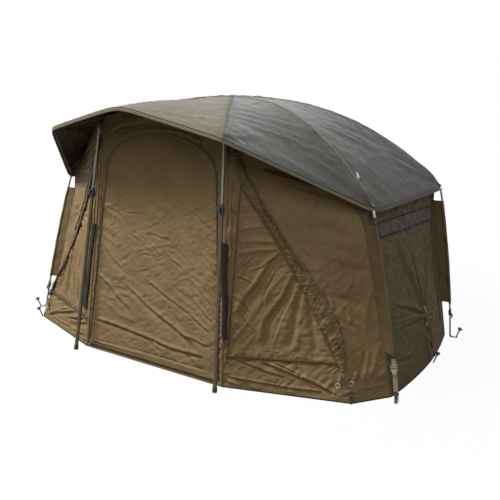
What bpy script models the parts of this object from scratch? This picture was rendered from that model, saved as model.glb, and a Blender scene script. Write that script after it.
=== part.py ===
"""Bivvy tent, pitched: an umbrella frame of eight ribs under a gored canopy, with a peak, two telescopic front
poles, four corner tension bars in fabric sleeves, and walls with a zipped door and two zipped windows.

Metres, +Z up. The door faces -Y and +X is the right-hand side seen from in front. The origin is on the ground,
in the middle of the tent's length and width.
"""
import math

import bmesh
import bpy
from mathutils import Vector

# Plan of the canopy: distances out from the middle plane, back from the front of the peak, and up from the ground
OVERALL_DEPTH = 2.000
CROWN_BACK = 0.929
CROWN_HEIGHT = 1.405
PEAK_HEIGHT = 1.378
BRIM_CORNER_OUT = 0.571
BRIM_CORNER_BACK = 0.064
BRIM_CORNER_HEIGHT = 1.253
FRONT_TIP_OUT = 1.080
FRONT_TIP_BACK = 0.612
FRONT_TIP_HEIGHT = 0.895
REAR_TIP_OUT = 1.090
REAR_TIP_BACK = 1.488
REAR_TIP_HEIGHT = 0.900
BACK_TIP_OUT = 0.480
BACK_TIP_BACK = 1.905
BACK_TIP_HEIGHT = 0.930

# How late along its length each rib bends down, as the power of the share of its length
BRIM_RIB_BEND_POWER = 1.6
FRONT_RIB_BEND_POWER = 2.5
REAR_RIB_BEND_POWER = 2.4
BACK_RIB_BEND_POWER = 2.5
PEAK_BEND_POWER = 4.5
PEAK_ROUND_SHARE = 0.10
SAG_PEAK_FACTOR = 27.0

# Canopy cloth
CANOPY_THICKNESS = 0.003
GORE_SAG = 0.008
PEAK_SAG = 0.008
SEAM_GAP = 0.0004
BINDING_HEIGHT = 0.015
BINDING_THICKNESS = 0.002

# Crown of the frame
CROWN_RADIUS = 0.036
CROWN_DEPTH = 0.040
CROWN_SEAT_GAP = 0.0015
RIB_SEAT = 0.016
CAP_RADIUS = 0.030
CAP_THICKNESS = 0.004
CAP_DOME = 0.002
CAP_STEM_RADIUS = 0.012
STEM_CLEARANCE = 0.0015

# Ribs and the rod that lifts the peak
RIB_RADIUS = 0.0045
RIB_CLEARANCE = 0.0003
RIB_END_SHARE = 0.985
BACK_RIB_END_SHARE = 0.940
CROWN_WAIST_SHARE = 0.80
CROWN_TAPER_SHARE = 0.65
CAP_RIM_SHARE = 0.85
CAP_SHOULDER_SHARE = 0.50
CAP_TOP_SHARE = 0.20
RIB_NOTCH = 0.028
PEAK_ROD_RADIUS = 0.004
PEAK_ROD_LENGTH = 0.280
PEAK_ROD_CLEARANCE = 0.0005

# Front poles
POLE_FOOT_OUT = 0.501
POLE_FOOT_BACK = 0.081
POLE_RIB_SHARE = 0.745
POLE_OUTER_RADIUS = 0.0105
POLE_INNER_RADIUS = 0.0075
POLE_BORE_CLEARANCE = 0.0004
POLE_OUTER_LENGTH = 0.935
POLE_OVERLAP = 0.340
POLE_TRAVEL = 0.290
POLE_FOOT_RADIUS = 0.0130
POLE_FOOT_HEIGHT = 0.030
COLLAR_RADIUS = 0.0145
COLLAR_HEIGHT = 0.056
POLE_HEAD_RADIUS = 0.0110
POLE_HEAD_HEIGHT = 0.045
POLE_HEAD_GAP = 0.0015
POLE_HEAD_TAPER_SHARE = 0.40
KNOB_RADIUS = 0.0135
KNOB_LENGTH = 0.016
KNOB_LOBES = 6
KNOB_LOBE_DEPTH = 0.0015
KNOB_NECK_SHARE = 0.75
KNOB_FACE_SHARE = 0.92

# Corner tension bars, their webbing, buckles and sleeves
FRONT_STRAP_OUT = 1.277
FRONT_STRAP_BACK = 0.513
REAR_STRAP_OUT = 1.185
REAR_STRAP_BACK = 1.508
BAR_RADIUS = 0.0050
BAR_HEAD_RADIUS = 0.0075
BAR_HEAD_LENGTH = 0.030
BAR_HEAD_DROP = 0.0030
BAR_INSET = 0.015
BAR_FOOT_HEIGHT = 0.205
BAR_BOW = 0.016
LOOP_LENGTH = 0.046
WEBBING_WIDTH = 0.022
WEBBING_THICKNESS = 0.003
SLEEVE_TOP_HEIGHT = 0.820
SLEEVE_FOOT_HEIGHT = 0.215
SLEEVE_THICKNESS = 0.0025
SLEEVE_CLEARANCE = 0.0005
SLEEVE_WEB_TOP = 0.066
SLEEVE_ROWS = 4
CORNER_INSET_OUT = 0.035
CORNER_INSET_BACK = 0.022
BUCKLE_WIDTH = 0.034
BUCKLE_HEIGHT = 0.030
BUCKLE_DEPTH = 0.011
BUCKLE_SLOT_CLEARANCE = 0.0008
BUCKLE_DROP = 0.024

# Walls
WALL_THICKNESS = 0.003
WALL_GAP = 0.0005
WALL_HEAD_GAP = 0.0008
DOOR_WALL_FOOT_BACK = 0.152
DOOR_WALL_LEAN = 0.1205
DOOR_SEAM_FOOT_OUT = 0.487
DOOR_SEAM_LEAN = 0.048
SIDE_CORNER_OUT = 1.115
SIDE_CORNER_BACK = 0.355
WALL_CORNER_HEIGHT = 0.800
WALL_EAVE_SHARE = 0.935
BACK_EAVE_SHARE = 0.965
EAVE_RAMP_SHARE = 0.10
SIDE_HEM_BOW = 0.040
REAR_CORNER_OUT = 1.150
REAR_CORNER_BACK = 1.505
REAR_CORNER_INSET = 0.058
BACK_CORNER_OUT = 0.550

# Door
DOOR_FOOT_HEIGHT = 0.020
DOOR_FOOT_HALF_WIDTH = 0.470
DOOR_SIDE_LEAN = 0.088
DOOR_HEIGHT = 1.233
DOOR_HEAD_RADIUS = 0.650
DOOR_CORNER_RADIUS = 0.170
DOOR_ZIP_GAP = 0.0005
DOOR_FOLD_HEIGHT = 0.004
DOOR_FOLDS = 3

# Windows
WINDOW_ZIP_OUT = 0.506
WINDOW_ZIP_FOOT = 0.160
WINDOW_ZIP_GAP = 0.0006
WINDOW_FOOT_GAP = 0.0030
WINDOW_CORNER_OUT = 1.040
WINDOW_CORNER_BACK = 0.374
WINDOW_CORNER_HEIGHT = 0.185
WINDOW_HEAD_BACK = 0.306
WINDOW_HEAD_HEIGHT = 1.030
WINDOW_SEAM_HOLLOW = 0.050
WINDOW_FOLD_HEIGHT = 0.005
WINDOW_FOLDS = 5
WINDOW_FIRST_SHARE = 0.015

# Side walls' storm guys
GUY_RADIUS = 0.0015
GUY_PULL_SHARE = 0.545
GUY_HEIGHT = 0.240
GUY_KNOT_HEIGHT = 0.040
SIDE_FOLD_HEIGHT = 0.006
SIDE_FOLD_WIDTH_SHARE = 0.18
SIDE_FOLD_TALL_SHARE = 0.22
SIDE_FOLD_UP_SHARE = 0.25

# Pegs and zip sliders
PEG_RADIUS = 0.0040
PEG_HEIGHT = 0.068
PEG_HEAD_RADIUS = 0.0140
PEG_HEAD_HEIGHT = 0.007
PEG_NECK_RADIUS = 0.0065
PEG_NECK_HEIGHT = 0.012
PEG_LEAN_DEG = 20.0
CORNER_PEG_TURN_DEG = 29.0
FRONT_PEG_TURN_DEG = 19.0
PEG_GAP = 0.0003
PEG_LOOP_CLEARANCE = 0.0006
SLIDER_WIDTH = 0.008
SLIDER_LENGTH = 0.014
SLIDER_THICKNESS = 0.005
SLIDER_CLEARANCE = 0.0005
SLIDER_TAPER_SHARE = 0.70

# Mesh densities
RIB_STEPS = 14
GORE_STEPS = 10
GORE_COLUMNS = 6
DOOR_SIDE_STEPS = 8
DOOR_CORNER_STEPS = 6
DOOR_HEAD_STEPS = 5
DOOR_COLUMNS = 10
SURROUND_SIDE_STEPS = 12
ZIP_POINTS = 12
HEM_POINTS = 9
ROUND_SIDES = 12
PEG_SIDES = 8
SIDES = {"right": 1, "left": -1}

# The canopy's front edge and the rear hem, so that the tape on that edge still lies within the overall depth
FRONT_EDGE = BINDING_THICKNESS + SEAM_GAP - OVERALL_DEPTH / 2
REAR_HEM_BACK = OVERALL_DEPTH - BINDING_THICKNESS - SEAM_GAP
CROWN = Vector((0.0, CROWN_BACK + FRONT_EDGE, CROWN_HEIGHT))
DOWN = Vector((0.0, 0.0, -1.0))
UP = Vector((0.0, 0.0, 1.0))
BACKWARD = Vector((0.0, 1.0, 0.0))
OUTWARD = Vector((1.0, 0.0, 0.0))


def place(out, back, up, side=1):
    """A point given by its distance out from the middle plane, back from the front of the peak, and height."""
    return Vector((side * out, back + FRONT_EDGE, up))


def mirrored(point, side):
    """The point itself on the right-hand side, or its mirror image on the left."""
    return Vector((side * point.x, point.y, point.z))


def heading(degrees):
    """A level direction turned outwards from straight ahead, on the right-hand side."""
    turn = math.radians(degrees)
    return OUTWARD * math.sin(turn) - BACKWARD * math.cos(turn)


def finish(name, colour, roughness, metallic=0.0):
    """One plain material of the given colour."""
    material = bpy.data.materials.new(name)
    material.use_nodes = True
    shader = material.node_tree.nodes["Principled BSDF"]
    shader.inputs["Base Color"].default_value = (*colour, 1.0)
    shader.inputs["Roughness"].default_value = roughness
    shader.inputs["Metallic"].default_value = metallic
    return material


COLOURS = {
    "canopy": ((0.090, 0.095, 0.078), 0.65, 0.0),
    "peak": ((0.235, 0.230, 0.180), 0.65, 0.0),
    "wall": ((0.200, 0.130, 0.062), 0.75, 0.0),
    "side": ((0.110, 0.080, 0.045), 0.75, 0.0),
    "sleeve": ((0.160, 0.105, 0.055), 0.75, 0.0),
    "binding": ((0.330, 0.290, 0.190), 0.70, 0.0),
    "metal": ((0.250, 0.215, 0.160), 0.35, 0.9),
    "dark": ((0.020, 0.020, 0.020), 0.45, 0.0),
    "webbing": ((0.045, 0.038, 0.028), 0.80, 0.0),
}


def add_object(name, mesh, colour, smooth_degrees=30.0):
    """Puts a finished mesh in the scene under its node's name, with its own material."""
    item = bpy.data.objects.new(name, mesh)
    bpy.context.scene.collection.objects.link(item)
    mesh.materials.append(finish(name, *COLOURS[colour]))
    mesh.shade_smooth()
    mesh.set_sharp_from_angle(angle=math.radians(smooth_degrees))
    return item


def add_mesh(name, points, faces, colour):
    """A mesh object from points and faces, with its faces turned outwards."""
    mesh = bpy.data.meshes.new(name)
    work = bmesh.new()
    corners = [work.verts.new(point) for point in points]
    for face in faces:
        work.faces.new([corners[index] for index in face])
    bmesh.ops.recalc_face_normals(work, faces=work.faces)
    work.to_mesh(mesh)
    work.free()
    return add_object(name, mesh, colour)


def set_origin(item, pivot):
    """Moves an object's origin to its joint, leaving the shape where it is."""
    for vertex in item.data.vertices:
        vertex.co -= pivot
    item.location = pivot
    return item


def halves(quad, points):
    """A four-sided face as two triangles, along its shorter diagonal."""
    first, second, third, fourth = quad
    if (points[first] - points[third]).length <= (points[second] - points[fourth]).length:
        return [first, second, third], [first, third, fourth]
    return [first, second, fourth], [second, third, fourth]


def add_sheet(name, outer, inner, colour, ring=False):
    """A sheet of cloth closed between an outer and an inner grid of points; a ring's rows close on themselves.

    Both faces are folded along the same diagonals, so that the sheet keeps its thickness where it twists.
    """
    rows, columns = len(outer), len(outer[0])
    points = [point for row in outer for point in row] + [point for row in inner for point in row]
    under = rows * columns
    last = columns if ring else columns - 1
    faces = []
    for row in range(rows - 1):
        for column in range(last):
            near, far = column, (column + 1) % columns
            after = (row + 1) * columns
            quad = [row * columns + near, row * columns + far, after + far, after + near]
            for face in halves(quad, points):
                faces.append(face)
                faces.append([under + index for index in reversed(face)])
    for row in (0, rows - 1):
        for column in range(last):
            near, far = row * columns + column, row * columns + (column + 1) % columns
            faces.append([near, far, under + far, under + near])
    if not ring:
        for column in (0, columns - 1):
            for row in range(rows - 1):
                near, far = row * columns + column, (row + 1) * columns + column
                faces.append([near, far, under + far, under + near])
    return add_mesh(name, points, faces, colour)


def thicken(rows, step):
    """The inner face of a sheet: each point moved by the same step."""
    return [[point + step for point in row] for row in rows]


def add_loft(name, sections, colour):
    """A closed solid through sections with equal numbers of points, with flat ends."""
    count = len(sections[0])
    points = [point for section in sections for point in section]
    faces = [list(range(count)), [len(points) - 1 - index for index in range(count)]]
    for level in range(len(sections) - 1):
        for index in range(count):
            near, far = level * count + index, level * count + (index + 1) % count
            faces.append([near, far, far + count, near + count])
    return add_mesh(name, points, faces, colour)


def frame_along(start, end):
    """Unit vectors along an axis and across it: along, sideways and forwards."""
    along = (end - start).normalized()
    sideways = BACKWARD.cross(along).normalized()
    return along, sideways, along.cross(sideways)


def circle(centre, sideways, forwards, radius, sides):
    """Points round a circle in the plane of two unit vectors."""
    points = []
    for index in range(sides):
        turn = 2.0 * math.pi * index / sides
        points.append(centre + sideways * (radius * math.cos(turn)) + forwards * (radius * math.sin(turn)))
    return points


def add_turned(name, start, end, profile, colour, sides=ROUND_SIDES, bore=None):
    """A solid of revolution: profile gives (distance along the axis, radius), and bore the same for a blind hole."""
    along, sideways, forwards = frame_along(start, end)
    outline = list(profile) + list(reversed(bore or []))
    points, faces = [], []
    for distance, radius in outline:
        points.extend(circle(start + along * distance, sideways, forwards, radius, sides))
    for level in range(len(outline) - 1):
        for index in range(sides):
            near, far = level * sides + index, level * sides + (index + 1) % sides
            faces.append([near, far, far + sides, near + sides])
    last = len(points) - sides
    faces.append(list(range(sides)))
    faces.append([last + index for index in reversed(range(sides))])
    return add_mesh(name, points, faces, colour)


def add_tube(name, path, radius, colour, resolution=1):
    """A round bar or cord along a path, with filled ends."""
    curve = bpy.data.curves.new(name, "CURVE")
    curve.dimensions = "3D"
    spline = curve.splines.new("POLY")
    spline.points.add(len(path) - 1)
    for corner, point in zip(spline.points, path):
        corner.co = (*point, 1.0)
    curve.bevel_depth = radius
    curve.bevel_resolution = resolution
    curve.use_fill_caps = True
    item = bpy.data.objects.new(name, curve)
    bpy.context.scene.collection.objects.link(item)
    curve.materials.append(finish(name, *COLOURS[colour]))
    return item


def cut(item, cutters):
    """Cuts pockets out of an object with hidden cutters."""
    for cutter in cutters:
        modifier = item.modifiers.new(cutter.name, "BOOLEAN")
        modifier.operation = "DIFFERENCE"
        modifier.solver = "EXACT"
        modifier.object = cutter
        cutter.hide_render = True
        cutter.display_type = "WIRE"


def rib_line(tip, power):
    """The curve of a rib's seam on the canopy, as a function of the share of its plan length."""
    def point(share):
        plan = CROWN.lerp(tip, share)
        return Vector((plan.x, plan.y, CROWN_HEIGHT - (CROWN_HEIGHT - tip.z) * share ** power))
    return point


def ridge(share):
    """The line from the crown to the middle of the peak, sagging behind the rod that lifts it."""
    point = rib_line(place(0.0, 0.0, PEAK_HEIGHT), PEAK_BEND_POWER)(share)
    free_share = 1.0 - PEAK_ROD_LENGTH / CROWN_BACK
    point.z -= PEAK_SAG * math.sin(math.pi * min(share / free_share, 1.0)) ** 2
    return point


TIPS = {
    "brim": (place(BRIM_CORNER_OUT, BRIM_CORNER_BACK, BRIM_CORNER_HEIGHT), BRIM_RIB_BEND_POWER),
    "front": (place(FRONT_TIP_OUT, FRONT_TIP_BACK, FRONT_TIP_HEIGHT), FRONT_RIB_BEND_POWER),
    "rear": (place(REAR_TIP_OUT, REAR_TIP_BACK, REAR_TIP_HEIGHT), REAR_RIB_BEND_POWER),
    "back": (place(BACK_TIP_OUT, BACK_TIP_BACK, BACK_TIP_HEIGHT), BACK_RIB_BEND_POWER),
}
RIBS = {(name, side): rib_line(mirrored(tip, sign), power)
        for name, (tip, power) in TIPS.items() for side, sign in SIDES.items()}
STRAPS = {
    "front": (FRONT_STRAP_OUT, FRONT_STRAP_BACK, heading(FRONT_PEG_TURN_DEG)),
    "rear": (REAR_STRAP_OUT, REAR_STRAP_BACK, OUTWARD),
}
GORES = {
    "gore_peak": (("brim", "left"), ("brim", "right")),
    "gore_front_right": (("brim", "right"), ("front", "right")),
    "gore_side_right": (("front", "right"), ("rear", "right")),
    "gore_quarter_right": (("rear", "right"), ("back", "right")),
    "gore_back": (("back", "right"), ("back", "left")),
    "gore_quarter_left": (("back", "left"), ("rear", "left")),
    "gore_side_left": (("rear", "left"), ("front", "left")),
    "gore_front_left": (("front", "left"), ("brim", "left")),
}


def gore_point(name, along, across):
    """A point on the outer face of a gore: along is the share from crown to eave, across from rib to rib."""
    first, second = (RIBS[rib](along) for rib in GORES[name])
    point = first.lerp(second, across)
    if name == "gore_peak":
        full = math.hypot(1.0, PEAK_ROUND_SHARE)
        lift = (full - math.hypot(2.0 * across - 1.0, PEAK_ROUND_SHARE)) / (full - PEAK_ROUND_SHARE)
        point += (ridge(along) - first.lerp(second, 0.5)) * lift
    else:
        point.z -= GORE_SAG * SAG_PEAK_FACTOR * across * (1.0 - across) * along ** 2 * (1.0 - along)
    return point


def gore_grid(name):
    """The shares at which a gore bends: along it from the hole round the crown's cap, and the columns across it."""
    shortest = min((RIBS[rib](1.0).xy - CROWN.xy).length for rib in GORES[name])
    start = (CAP_STEM_RADIUS + STEM_CLEARANCE) / shortest
    shares = [start + (1.0 - start) * step / GORE_STEPS for step in range(GORE_STEPS + 1)]
    return shares, GORE_COLUMNS * (2 if name == "gore_peak" else 1)


def gore_height(name, along, across):
    """Height of a gore's outer face between the corners of the piece that it has there, folded either way."""
    shares, columns = gore_grid(name)
    step = (shares[-1] - shares[0]) / GORE_STEPS
    row = min(max(int((along - shares[0]) / step), 0), GORE_STEPS - 1)
    column = min(int(across * columns), columns - 1)
    down, over = (along - shares[row]) / step, across * columns - column
    near, far = (gore_point(name, shares[row], (column + move) / columns).z for move in (0, 1))
    low_near, low_far = (gore_point(name, shares[row + 1], (column + move) / columns).z for move in (0, 1))
    if over >= down:
        one = near + over * (far - near) + down * (low_far - far)
    else:
        one = near + down * (low_near - near) + over * (low_far - low_near)
    if over + down <= 1.0:
        two = near + over * (far - near) + down * (low_near - near)
    else:
        two = low_far + (1.0 - over) * (low_near - low_far) + (1.0 - down) * (far - low_far)
    return min(one, two)


def canopy_under(x, y):
    """Height of the canopy's underside, less the walls' clearance, over a place on the ground."""
    offset = Vector((x, y)) - CROWN.xy
    for name, (first, second) in GORES.items():
        one, two = (RIBS[rib](1.0).xy - CROWN.xy for rib in (first, second))
        spread = one.x * two.y - one.y * two.x
        near = (offset.x * two.y - offset.y * two.x) / spread
        far = (one.x * offset.y - one.y * offset.x) / spread
        if near >= 0.0 and far >= 0.0:
            along = near + far
            return gore_height(name, along, far / along) - CANOPY_THICKNESS - WALL_HEAD_GAP
    return CROWN_HEIGHT


def hung_top(point):
    """A wall's head under the canopy, straight above or below the given point."""
    return Vector((point.x, point.y, canopy_under(point.x, point.y)))


def build_canopy():
    """The eight sewn gores, each hanging straight down from its outer face by its thickness."""
    for name, (first, second) in GORES.items():
        shares, columns = gore_grid(name)
        rows = []
        for along in shares:
            width = (RIBS[first](along) - RIBS[second](along)).length
            inset = SEAM_GAP / width
            across = [inset + (1.0 - 2.0 * inset) * column / columns for column in range(columns + 1)]
            rows.append([gore_point(name, along, share) for share in across])
        colour = "peak" if name == "gore_peak" else "canopy"
        add_sheet(name, rows, thicken(rows, DOWN * CANOPY_THICKNESS), colour)


def brim_path():
    """The front edge of the canopy from the left front tip over the peak to the right one."""
    path = []
    for name, count in (("gore_front_left", GORE_COLUMNS), ("gore_peak", 2 * GORE_COLUMNS),
                        ("gore_front_right", GORE_COLUMNS)):
        path.extend(gore_point(name, 1.0, step / count) for step in range(count))
    path.append(gore_point("gore_front_right", 1.0, 1.0))
    return path


def offset_plan(path, distance):
    """A path moved sideways in plan, to the right of its direction, keeping its heights."""
    moved = []
    for index, point in enumerate(path):
        before = path[max(index - 1, 0)]
        after = path[min(index + 1, len(path) - 1)]
        first = Vector((point - before).xy) if index else Vector((after - point).xy)
        second = Vector((after - point).xy) if index < len(path) - 1 else first
        one = Vector((first.y, -first.x)).normalized()
        two = Vector((second.y, -second.x)).normalized()
        mitre = (one + two).normalized()
        reach = distance / mitre.dot(one)
        moved.append(point + Vector((mitre.x * reach, mitre.y * reach, 0.0)))
    return moved


def build_binding():
    """The folded tape that binds the brim, standing just in front of the canopy's edge."""
    path = brim_path()
    inner = offset_plan(path, SEAM_GAP)
    outer = offset_plan(path, SEAM_GAP + BINDING_THICKNESS)
    drop = DOWN * BINDING_HEIGHT
    front = [outer, [point + drop for point in outer]]
    add_sheet("brim_binding", front, [inner, [point + drop for point in inner]], "binding")


def rib_axis(rib, share, radius=RIB_RADIUS):
    """Where a rib's own axis runs, under its seam."""
    return RIBS[rib](share) + DOWN * (CANOPY_THICKNESS + 2.0 * (radius + RIB_CLEARANCE))


def build_crown():
    """The crown block with a slot for each rib, and the cap that clamps the canopy from above."""
    top = CROWN + DOWN * (CANOPY_THICKNESS + CROWN_SEAT_GAP)
    waist = CROWN_RADIUS - RIB_SEAT
    profile = [(0.0, CROWN_RADIUS), (CROWN_DEPTH / 2, CROWN_RADIUS), (CROWN_DEPTH * CROWN_TAPER_SHARE, waist),
               (CROWN_DEPTH, waist * CROWN_WAIST_SHARE)]
    crown = add_turned("crown_block", top, top + DOWN, profile, "dark", sides=2 * ROUND_SIDES)
    slots = []
    for name, side in RIBS:
        start = rib_axis((name, side), 0.0)
        reach = (RIBS[(name, side)](1.0).xy - CROWN.xy).length
        first = rib_axis((name, side), (CROWN_RADIUS - RIB_SEAT - RIB_CLEARANCE) / reach)
        last = rib_axis((name, side), 2.0 * CROWN_RADIUS / reach)
        half = RIB_RADIUS + RIB_CLEARANCE
        across = Vector((first.y - last.y, last.x - first.x, 0.0)).normalized() * half
        sections = []
        for end in (first, last):
            low = Vector((end.x, end.y, start.z - CROWN_DEPTH / 4))
            high = Vector((end.x, end.y, CROWN_HEIGHT + CROWN_DEPTH))
            sections.append([low - across, low + across, high + across, high - across])
        slots.append(add_loft(f"slot_{name}_{side}", sections, "dark"))
    cut(crown, slots)
    seat = CROWN + UP * SEAM_GAP
    stem = CANOPY_THICKNESS + CROWN_SEAT_GAP + SEAM_GAP - RIB_CLEARANCE
    cap = [(0.0, CAP_STEM_RADIUS), (stem, CAP_STEM_RADIUS), (stem, CAP_RADIUS),
           (stem + CAP_THICKNESS / 2, CAP_RADIUS),
           (stem + CAP_THICKNESS, CAP_RADIUS * CAP_RIM_SHARE),
           (stem + CAP_THICKNESS + CAP_DOME / 2, CAP_RADIUS * CAP_SHOULDER_SHARE),
           (stem + CAP_THICKNESS + CAP_DOME, CAP_RADIUS * CAP_TOP_SHARE)]
    add_turned("crown_cap", seat + DOWN * stem, seat + UP, cap, "dark")


def rib_start(rib):
    """The share of a rib's length where it enters its slot in the crown."""
    return (CROWN_RADIUS - RIB_SEAT) / (RIBS[rib](1.0).xy - CROWN.xy).length


def rib_end(name):
    """The share of a rib's length where it stops: on a corner bar's head, at the back wall, or in the brim."""
    if name in STRAPS:
        reach = (RIBS[(name, "right")](1.0).xy - CROWN.xy).length
        return 1.0 - BAR_INSET / reach
    return BACK_RIB_END_SHARE if name == "back" else RIB_END_SHARE


def build_ribs():
    """Eight ribs from the crown to the eaves and the short rod under the peak."""
    for name, side in RIBS:
        start = rib_start((name, side))
        end = rib_end(name)
        shares = [start + (end - start) * step / RIB_STEPS for step in range(RIB_STEPS + 1)]
        add_tube(f"rib_{name}_{side}", [rib_axis((name, side), share) for share in shares], RIB_RADIUS, "dark")
    depth = DOWN * (CANOPY_THICKNESS + PEAK_ROD_RADIUS + PEAK_ROD_CLEARANCE)
    first_share = 1.0 - PEAK_ROD_LENGTH / CROWN_BACK
    bends = [share for share in gore_grid("gore_peak")[0] if first_share < share < RIB_END_SHARE]
    path = []
    for share in [first_share, *bends, RIB_END_SHARE]:
        point = ridge(share)
        point.z = gore_height("gore_peak", share, 0.5)
        path.append(point + depth)
    add_tube("peak_rod", path, PEAK_ROD_RADIUS, "dark")


def pole_ends(sign):
    """The ground end and the top end of a front pole, under its rib."""
    head = rib_axis(("brim", "right"), POLE_RIB_SHARE) + DOWN * (RIB_RADIUS + POLE_HEAD_GAP)
    return place(POLE_FOOT_OUT, POLE_FOOT_BACK, 0.0, sign), mirrored(head, sign)


def build_poles():
    """Telescopic front poles: an inner tube with its head, an outer tube with collar and foot, and a clamp knob."""
    for side, sign in SIDES.items():
        foot, head = pole_ends(sign)
        along = (head - foot).normalized()
        length = (head - foot).length
        low = POLE_OUTER_LENGTH - POLE_OVERLAP
        add_turned(f"pole_inner_{side}", foot, head, [
            (low, POLE_INNER_RADIUS), (length - POLE_HEAD_HEIGHT, POLE_INNER_RADIUS),
            (length - POLE_HEAD_HEIGHT, POLE_HEAD_RADIUS), (length - POLE_HEAD_RADIUS, POLE_HEAD_RADIUS),
            (length, POLE_HEAD_RADIUS * POLE_HEAD_TAPER_SHARE)], "metal")
        tilt = POLE_FOOT_RADIUS * math.tan(along.angle(UP))
        bore = POLE_INNER_RADIUS + POLE_BORE_CLEARANCE
        collar = POLE_OUTER_LENGTH - COLLAR_HEIGHT
        edge = (COLLAR_RADIUS - POLE_OUTER_RADIUS) / 2
        outer = add_turned(f"pole_outer_{side}", foot, head, [
            (tilt, POLE_FOOT_RADIUS), (POLE_FOOT_HEIGHT, POLE_FOOT_RADIUS), (POLE_FOOT_HEIGHT, POLE_OUTER_RADIUS),
            (collar, POLE_OUTER_RADIUS), (collar + edge, COLLAR_RADIUS),
            (POLE_OUTER_LENGTH - edge, COLLAR_RADIUS), (POLE_OUTER_LENGTH, POLE_OUTER_RADIUS)], "metal",
            bore=[(low - POLE_TRAVEL - edge, bore), (POLE_OUTER_LENGTH, bore)])
        set_origin(outer, foot)
        knob_axis = along.cross(OUTWARD).normalized()
        if knob_axis.y > 0.0:
            knob_axis.negate()
        seat = foot + along * (POLE_OUTER_LENGTH - COLLAR_HEIGHT / 2) + knob_axis * (COLLAR_RADIUS + SEAM_GAP)
        across = along.cross(knob_axis).normalized()
        sections = []
        for distance, taper in ((0.0, KNOB_NECK_SHARE), (KNOB_LENGTH / 4, 1.0), (KNOB_LENGTH, KNOB_FACE_SHARE)):
            ring = []
            for index in range(4 * KNOB_LOBES):
                turn = 2.0 * math.pi * index / (4 * KNOB_LOBES)
                radius = taper * (KNOB_RADIUS - KNOB_LOBE_DEPTH * (0.5 - 0.5 * math.cos(KNOB_LOBES * turn)))
                ring.append(seat + knob_axis * distance + across * (radius * math.cos(turn))
                            + along * (radius * math.sin(turn)))
            sections.append(ring)
        set_origin(add_loft(f"pole_knob_{side}", sections, "dark"), seat)


def bar_ends(corner):
    """A right-hand corner bar's line: its webbing's end on the ground, and its top under the rib's end."""
    out, back, _ = STRAPS[corner]
    top = rib_axis((corner, "right"), rib_end(corner)) + DOWN * BAR_HEAD_DROP
    return place(out, back, 0.0), top


def on_bar(corner, height):
    """The point of a corner bar's line at a height: the bar bows outwards."""
    foot, top = bar_ends(corner)
    share = height / top.z
    point = foot.lerp(top, share)
    point.x += BAR_BOW * 4.0 * share * (1.0 - share)
    return point


def bar_frame(corner, start, end):
    """Unit vectors along a corner bar between two points, towards its peg's side, and across."""
    along = (end - start).normalized()
    sideways = (STRAPS[corner][2] - along * along.dot(STRAPS[corner][2])).normalized()
    return along, sideways, along.cross(sideways)


def strap_ends(corner):
    """The straight run of webbing under a corner bar: from just above the ground to the bar's foot."""
    return on_bar(corner, 1.5 * WEBBING_THICKNESS), on_bar(corner, BAR_FOOT_HEIGHT - 2.0 * BAR_RADIUS)


def corner_seam(corner, height):
    """The sewn edge between two walls that a sleeve's web joins, inboard of the bar at the same height."""
    if corner == "front":
        foot = bar_ends(corner)[0] - OUTWARD * CORNER_INSET_OUT + BACKWARD * CORNER_INSET_BACK
        head = on_bar(corner, WALL_CORNER_HEIGHT) - OUTWARD * SLEEVE_WEB_TOP
    else:
        foot = place(REAR_CORNER_OUT, REAR_CORNER_BACK, 0.0)
        head = on_bar(corner, WALL_CORNER_HEIGHT) - OUTWARD * REAR_CORNER_INSET
    return foot.lerp(head, height / WALL_CORNER_HEIGHT)


def sleeve_heights():
    """The heights at which a bar and its sleeve bend together."""
    rise = SLEEVE_TOP_HEIGHT - SLEEVE_FOOT_HEIGHT
    return [SLEEVE_FOOT_HEIGHT + rise * row / SLEEVE_ROWS for row in range(SLEEVE_ROWS + 1)]


def build_corner_bars():
    """Corner bars under the canopy's corners, each ending in webbing that is pegged down through a loop."""
    for corner in STRAPS:
        foot, top = bar_ends(corner)
        outward = STRAPS[corner][2]
        low, high = strap_ends(corner)
        strap = (WEBBING_WIDTH / 2, WEBBING_THICKNESS / 2)
        flat = (-outward, UP, UP.cross(outward))
        lift = UP * (WEBBING_THICKNESS / 2)
        levels = [(foot + outward * LOOP_LENGTH + lift, strap, flat),
                  (foot + outward * (1.5 * WEBBING_THICKNESS) + lift, strap, flat),
                  (low, strap, bar_frame(corner, low, high)),
                  (high, strap, bar_frame(corner, low, high))]
        head = top.z - BAR_HEAD_LENGTH
        heights = [BAR_FOOT_HEIGHT, *sleeve_heights(), head]
        for height in heights:
            below, above = (on_bar(corner, height + step) for step in (-BAR_HEAD_LENGTH, BAR_HEAD_LENGTH))
            levels.append((on_bar(corner, height), (BAR_RADIUS, BAR_RADIUS), bar_frame(corner, below, above)))
        axes = bar_frame(corner, on_bar(corner, head), top)
        levels.append((on_bar(corner, head), (BAR_HEAD_RADIUS, BAR_HEAD_RADIUS), axes))
        levels.append((top, (BAR_HEAD_RADIUS, BAR_HEAD_RADIUS), axes))
        turns = [2.0 * math.pi * (index + 0.5) / PEG_SIDES for index in range(PEG_SIDES)]
        start, rise = peg_line(*peg_sites()[corner])
        for side, sign in SIDES.items():
            sections = []
            for centre, (wide, deep), (_, sideways, forwards) in levels:
                sections.append([mirrored(centre + sideways * (deep * math.cos(turn)) + forwards
                                          * (wide * math.sin(turn)), sign) for turn in turns])
            bar = add_loft(f"corner_bar_{corner}_{side}", sections, "webbing")
            ends = (mirrored(start - rise * PEG_HEAD_RADIUS, sign), mirrored(start + rise * PEG_HEAD_RADIUS, sign))
            hole = [(distance, PEG_RADIUS + PEG_LOOP_CLEARANCE) for distance in (0.0, 2.0 * PEG_HEAD_RADIUS)]
            cut(bar, [add_turned(f"loop_hole_{corner}_{side}", *ends, hole, "dark")])


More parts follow.
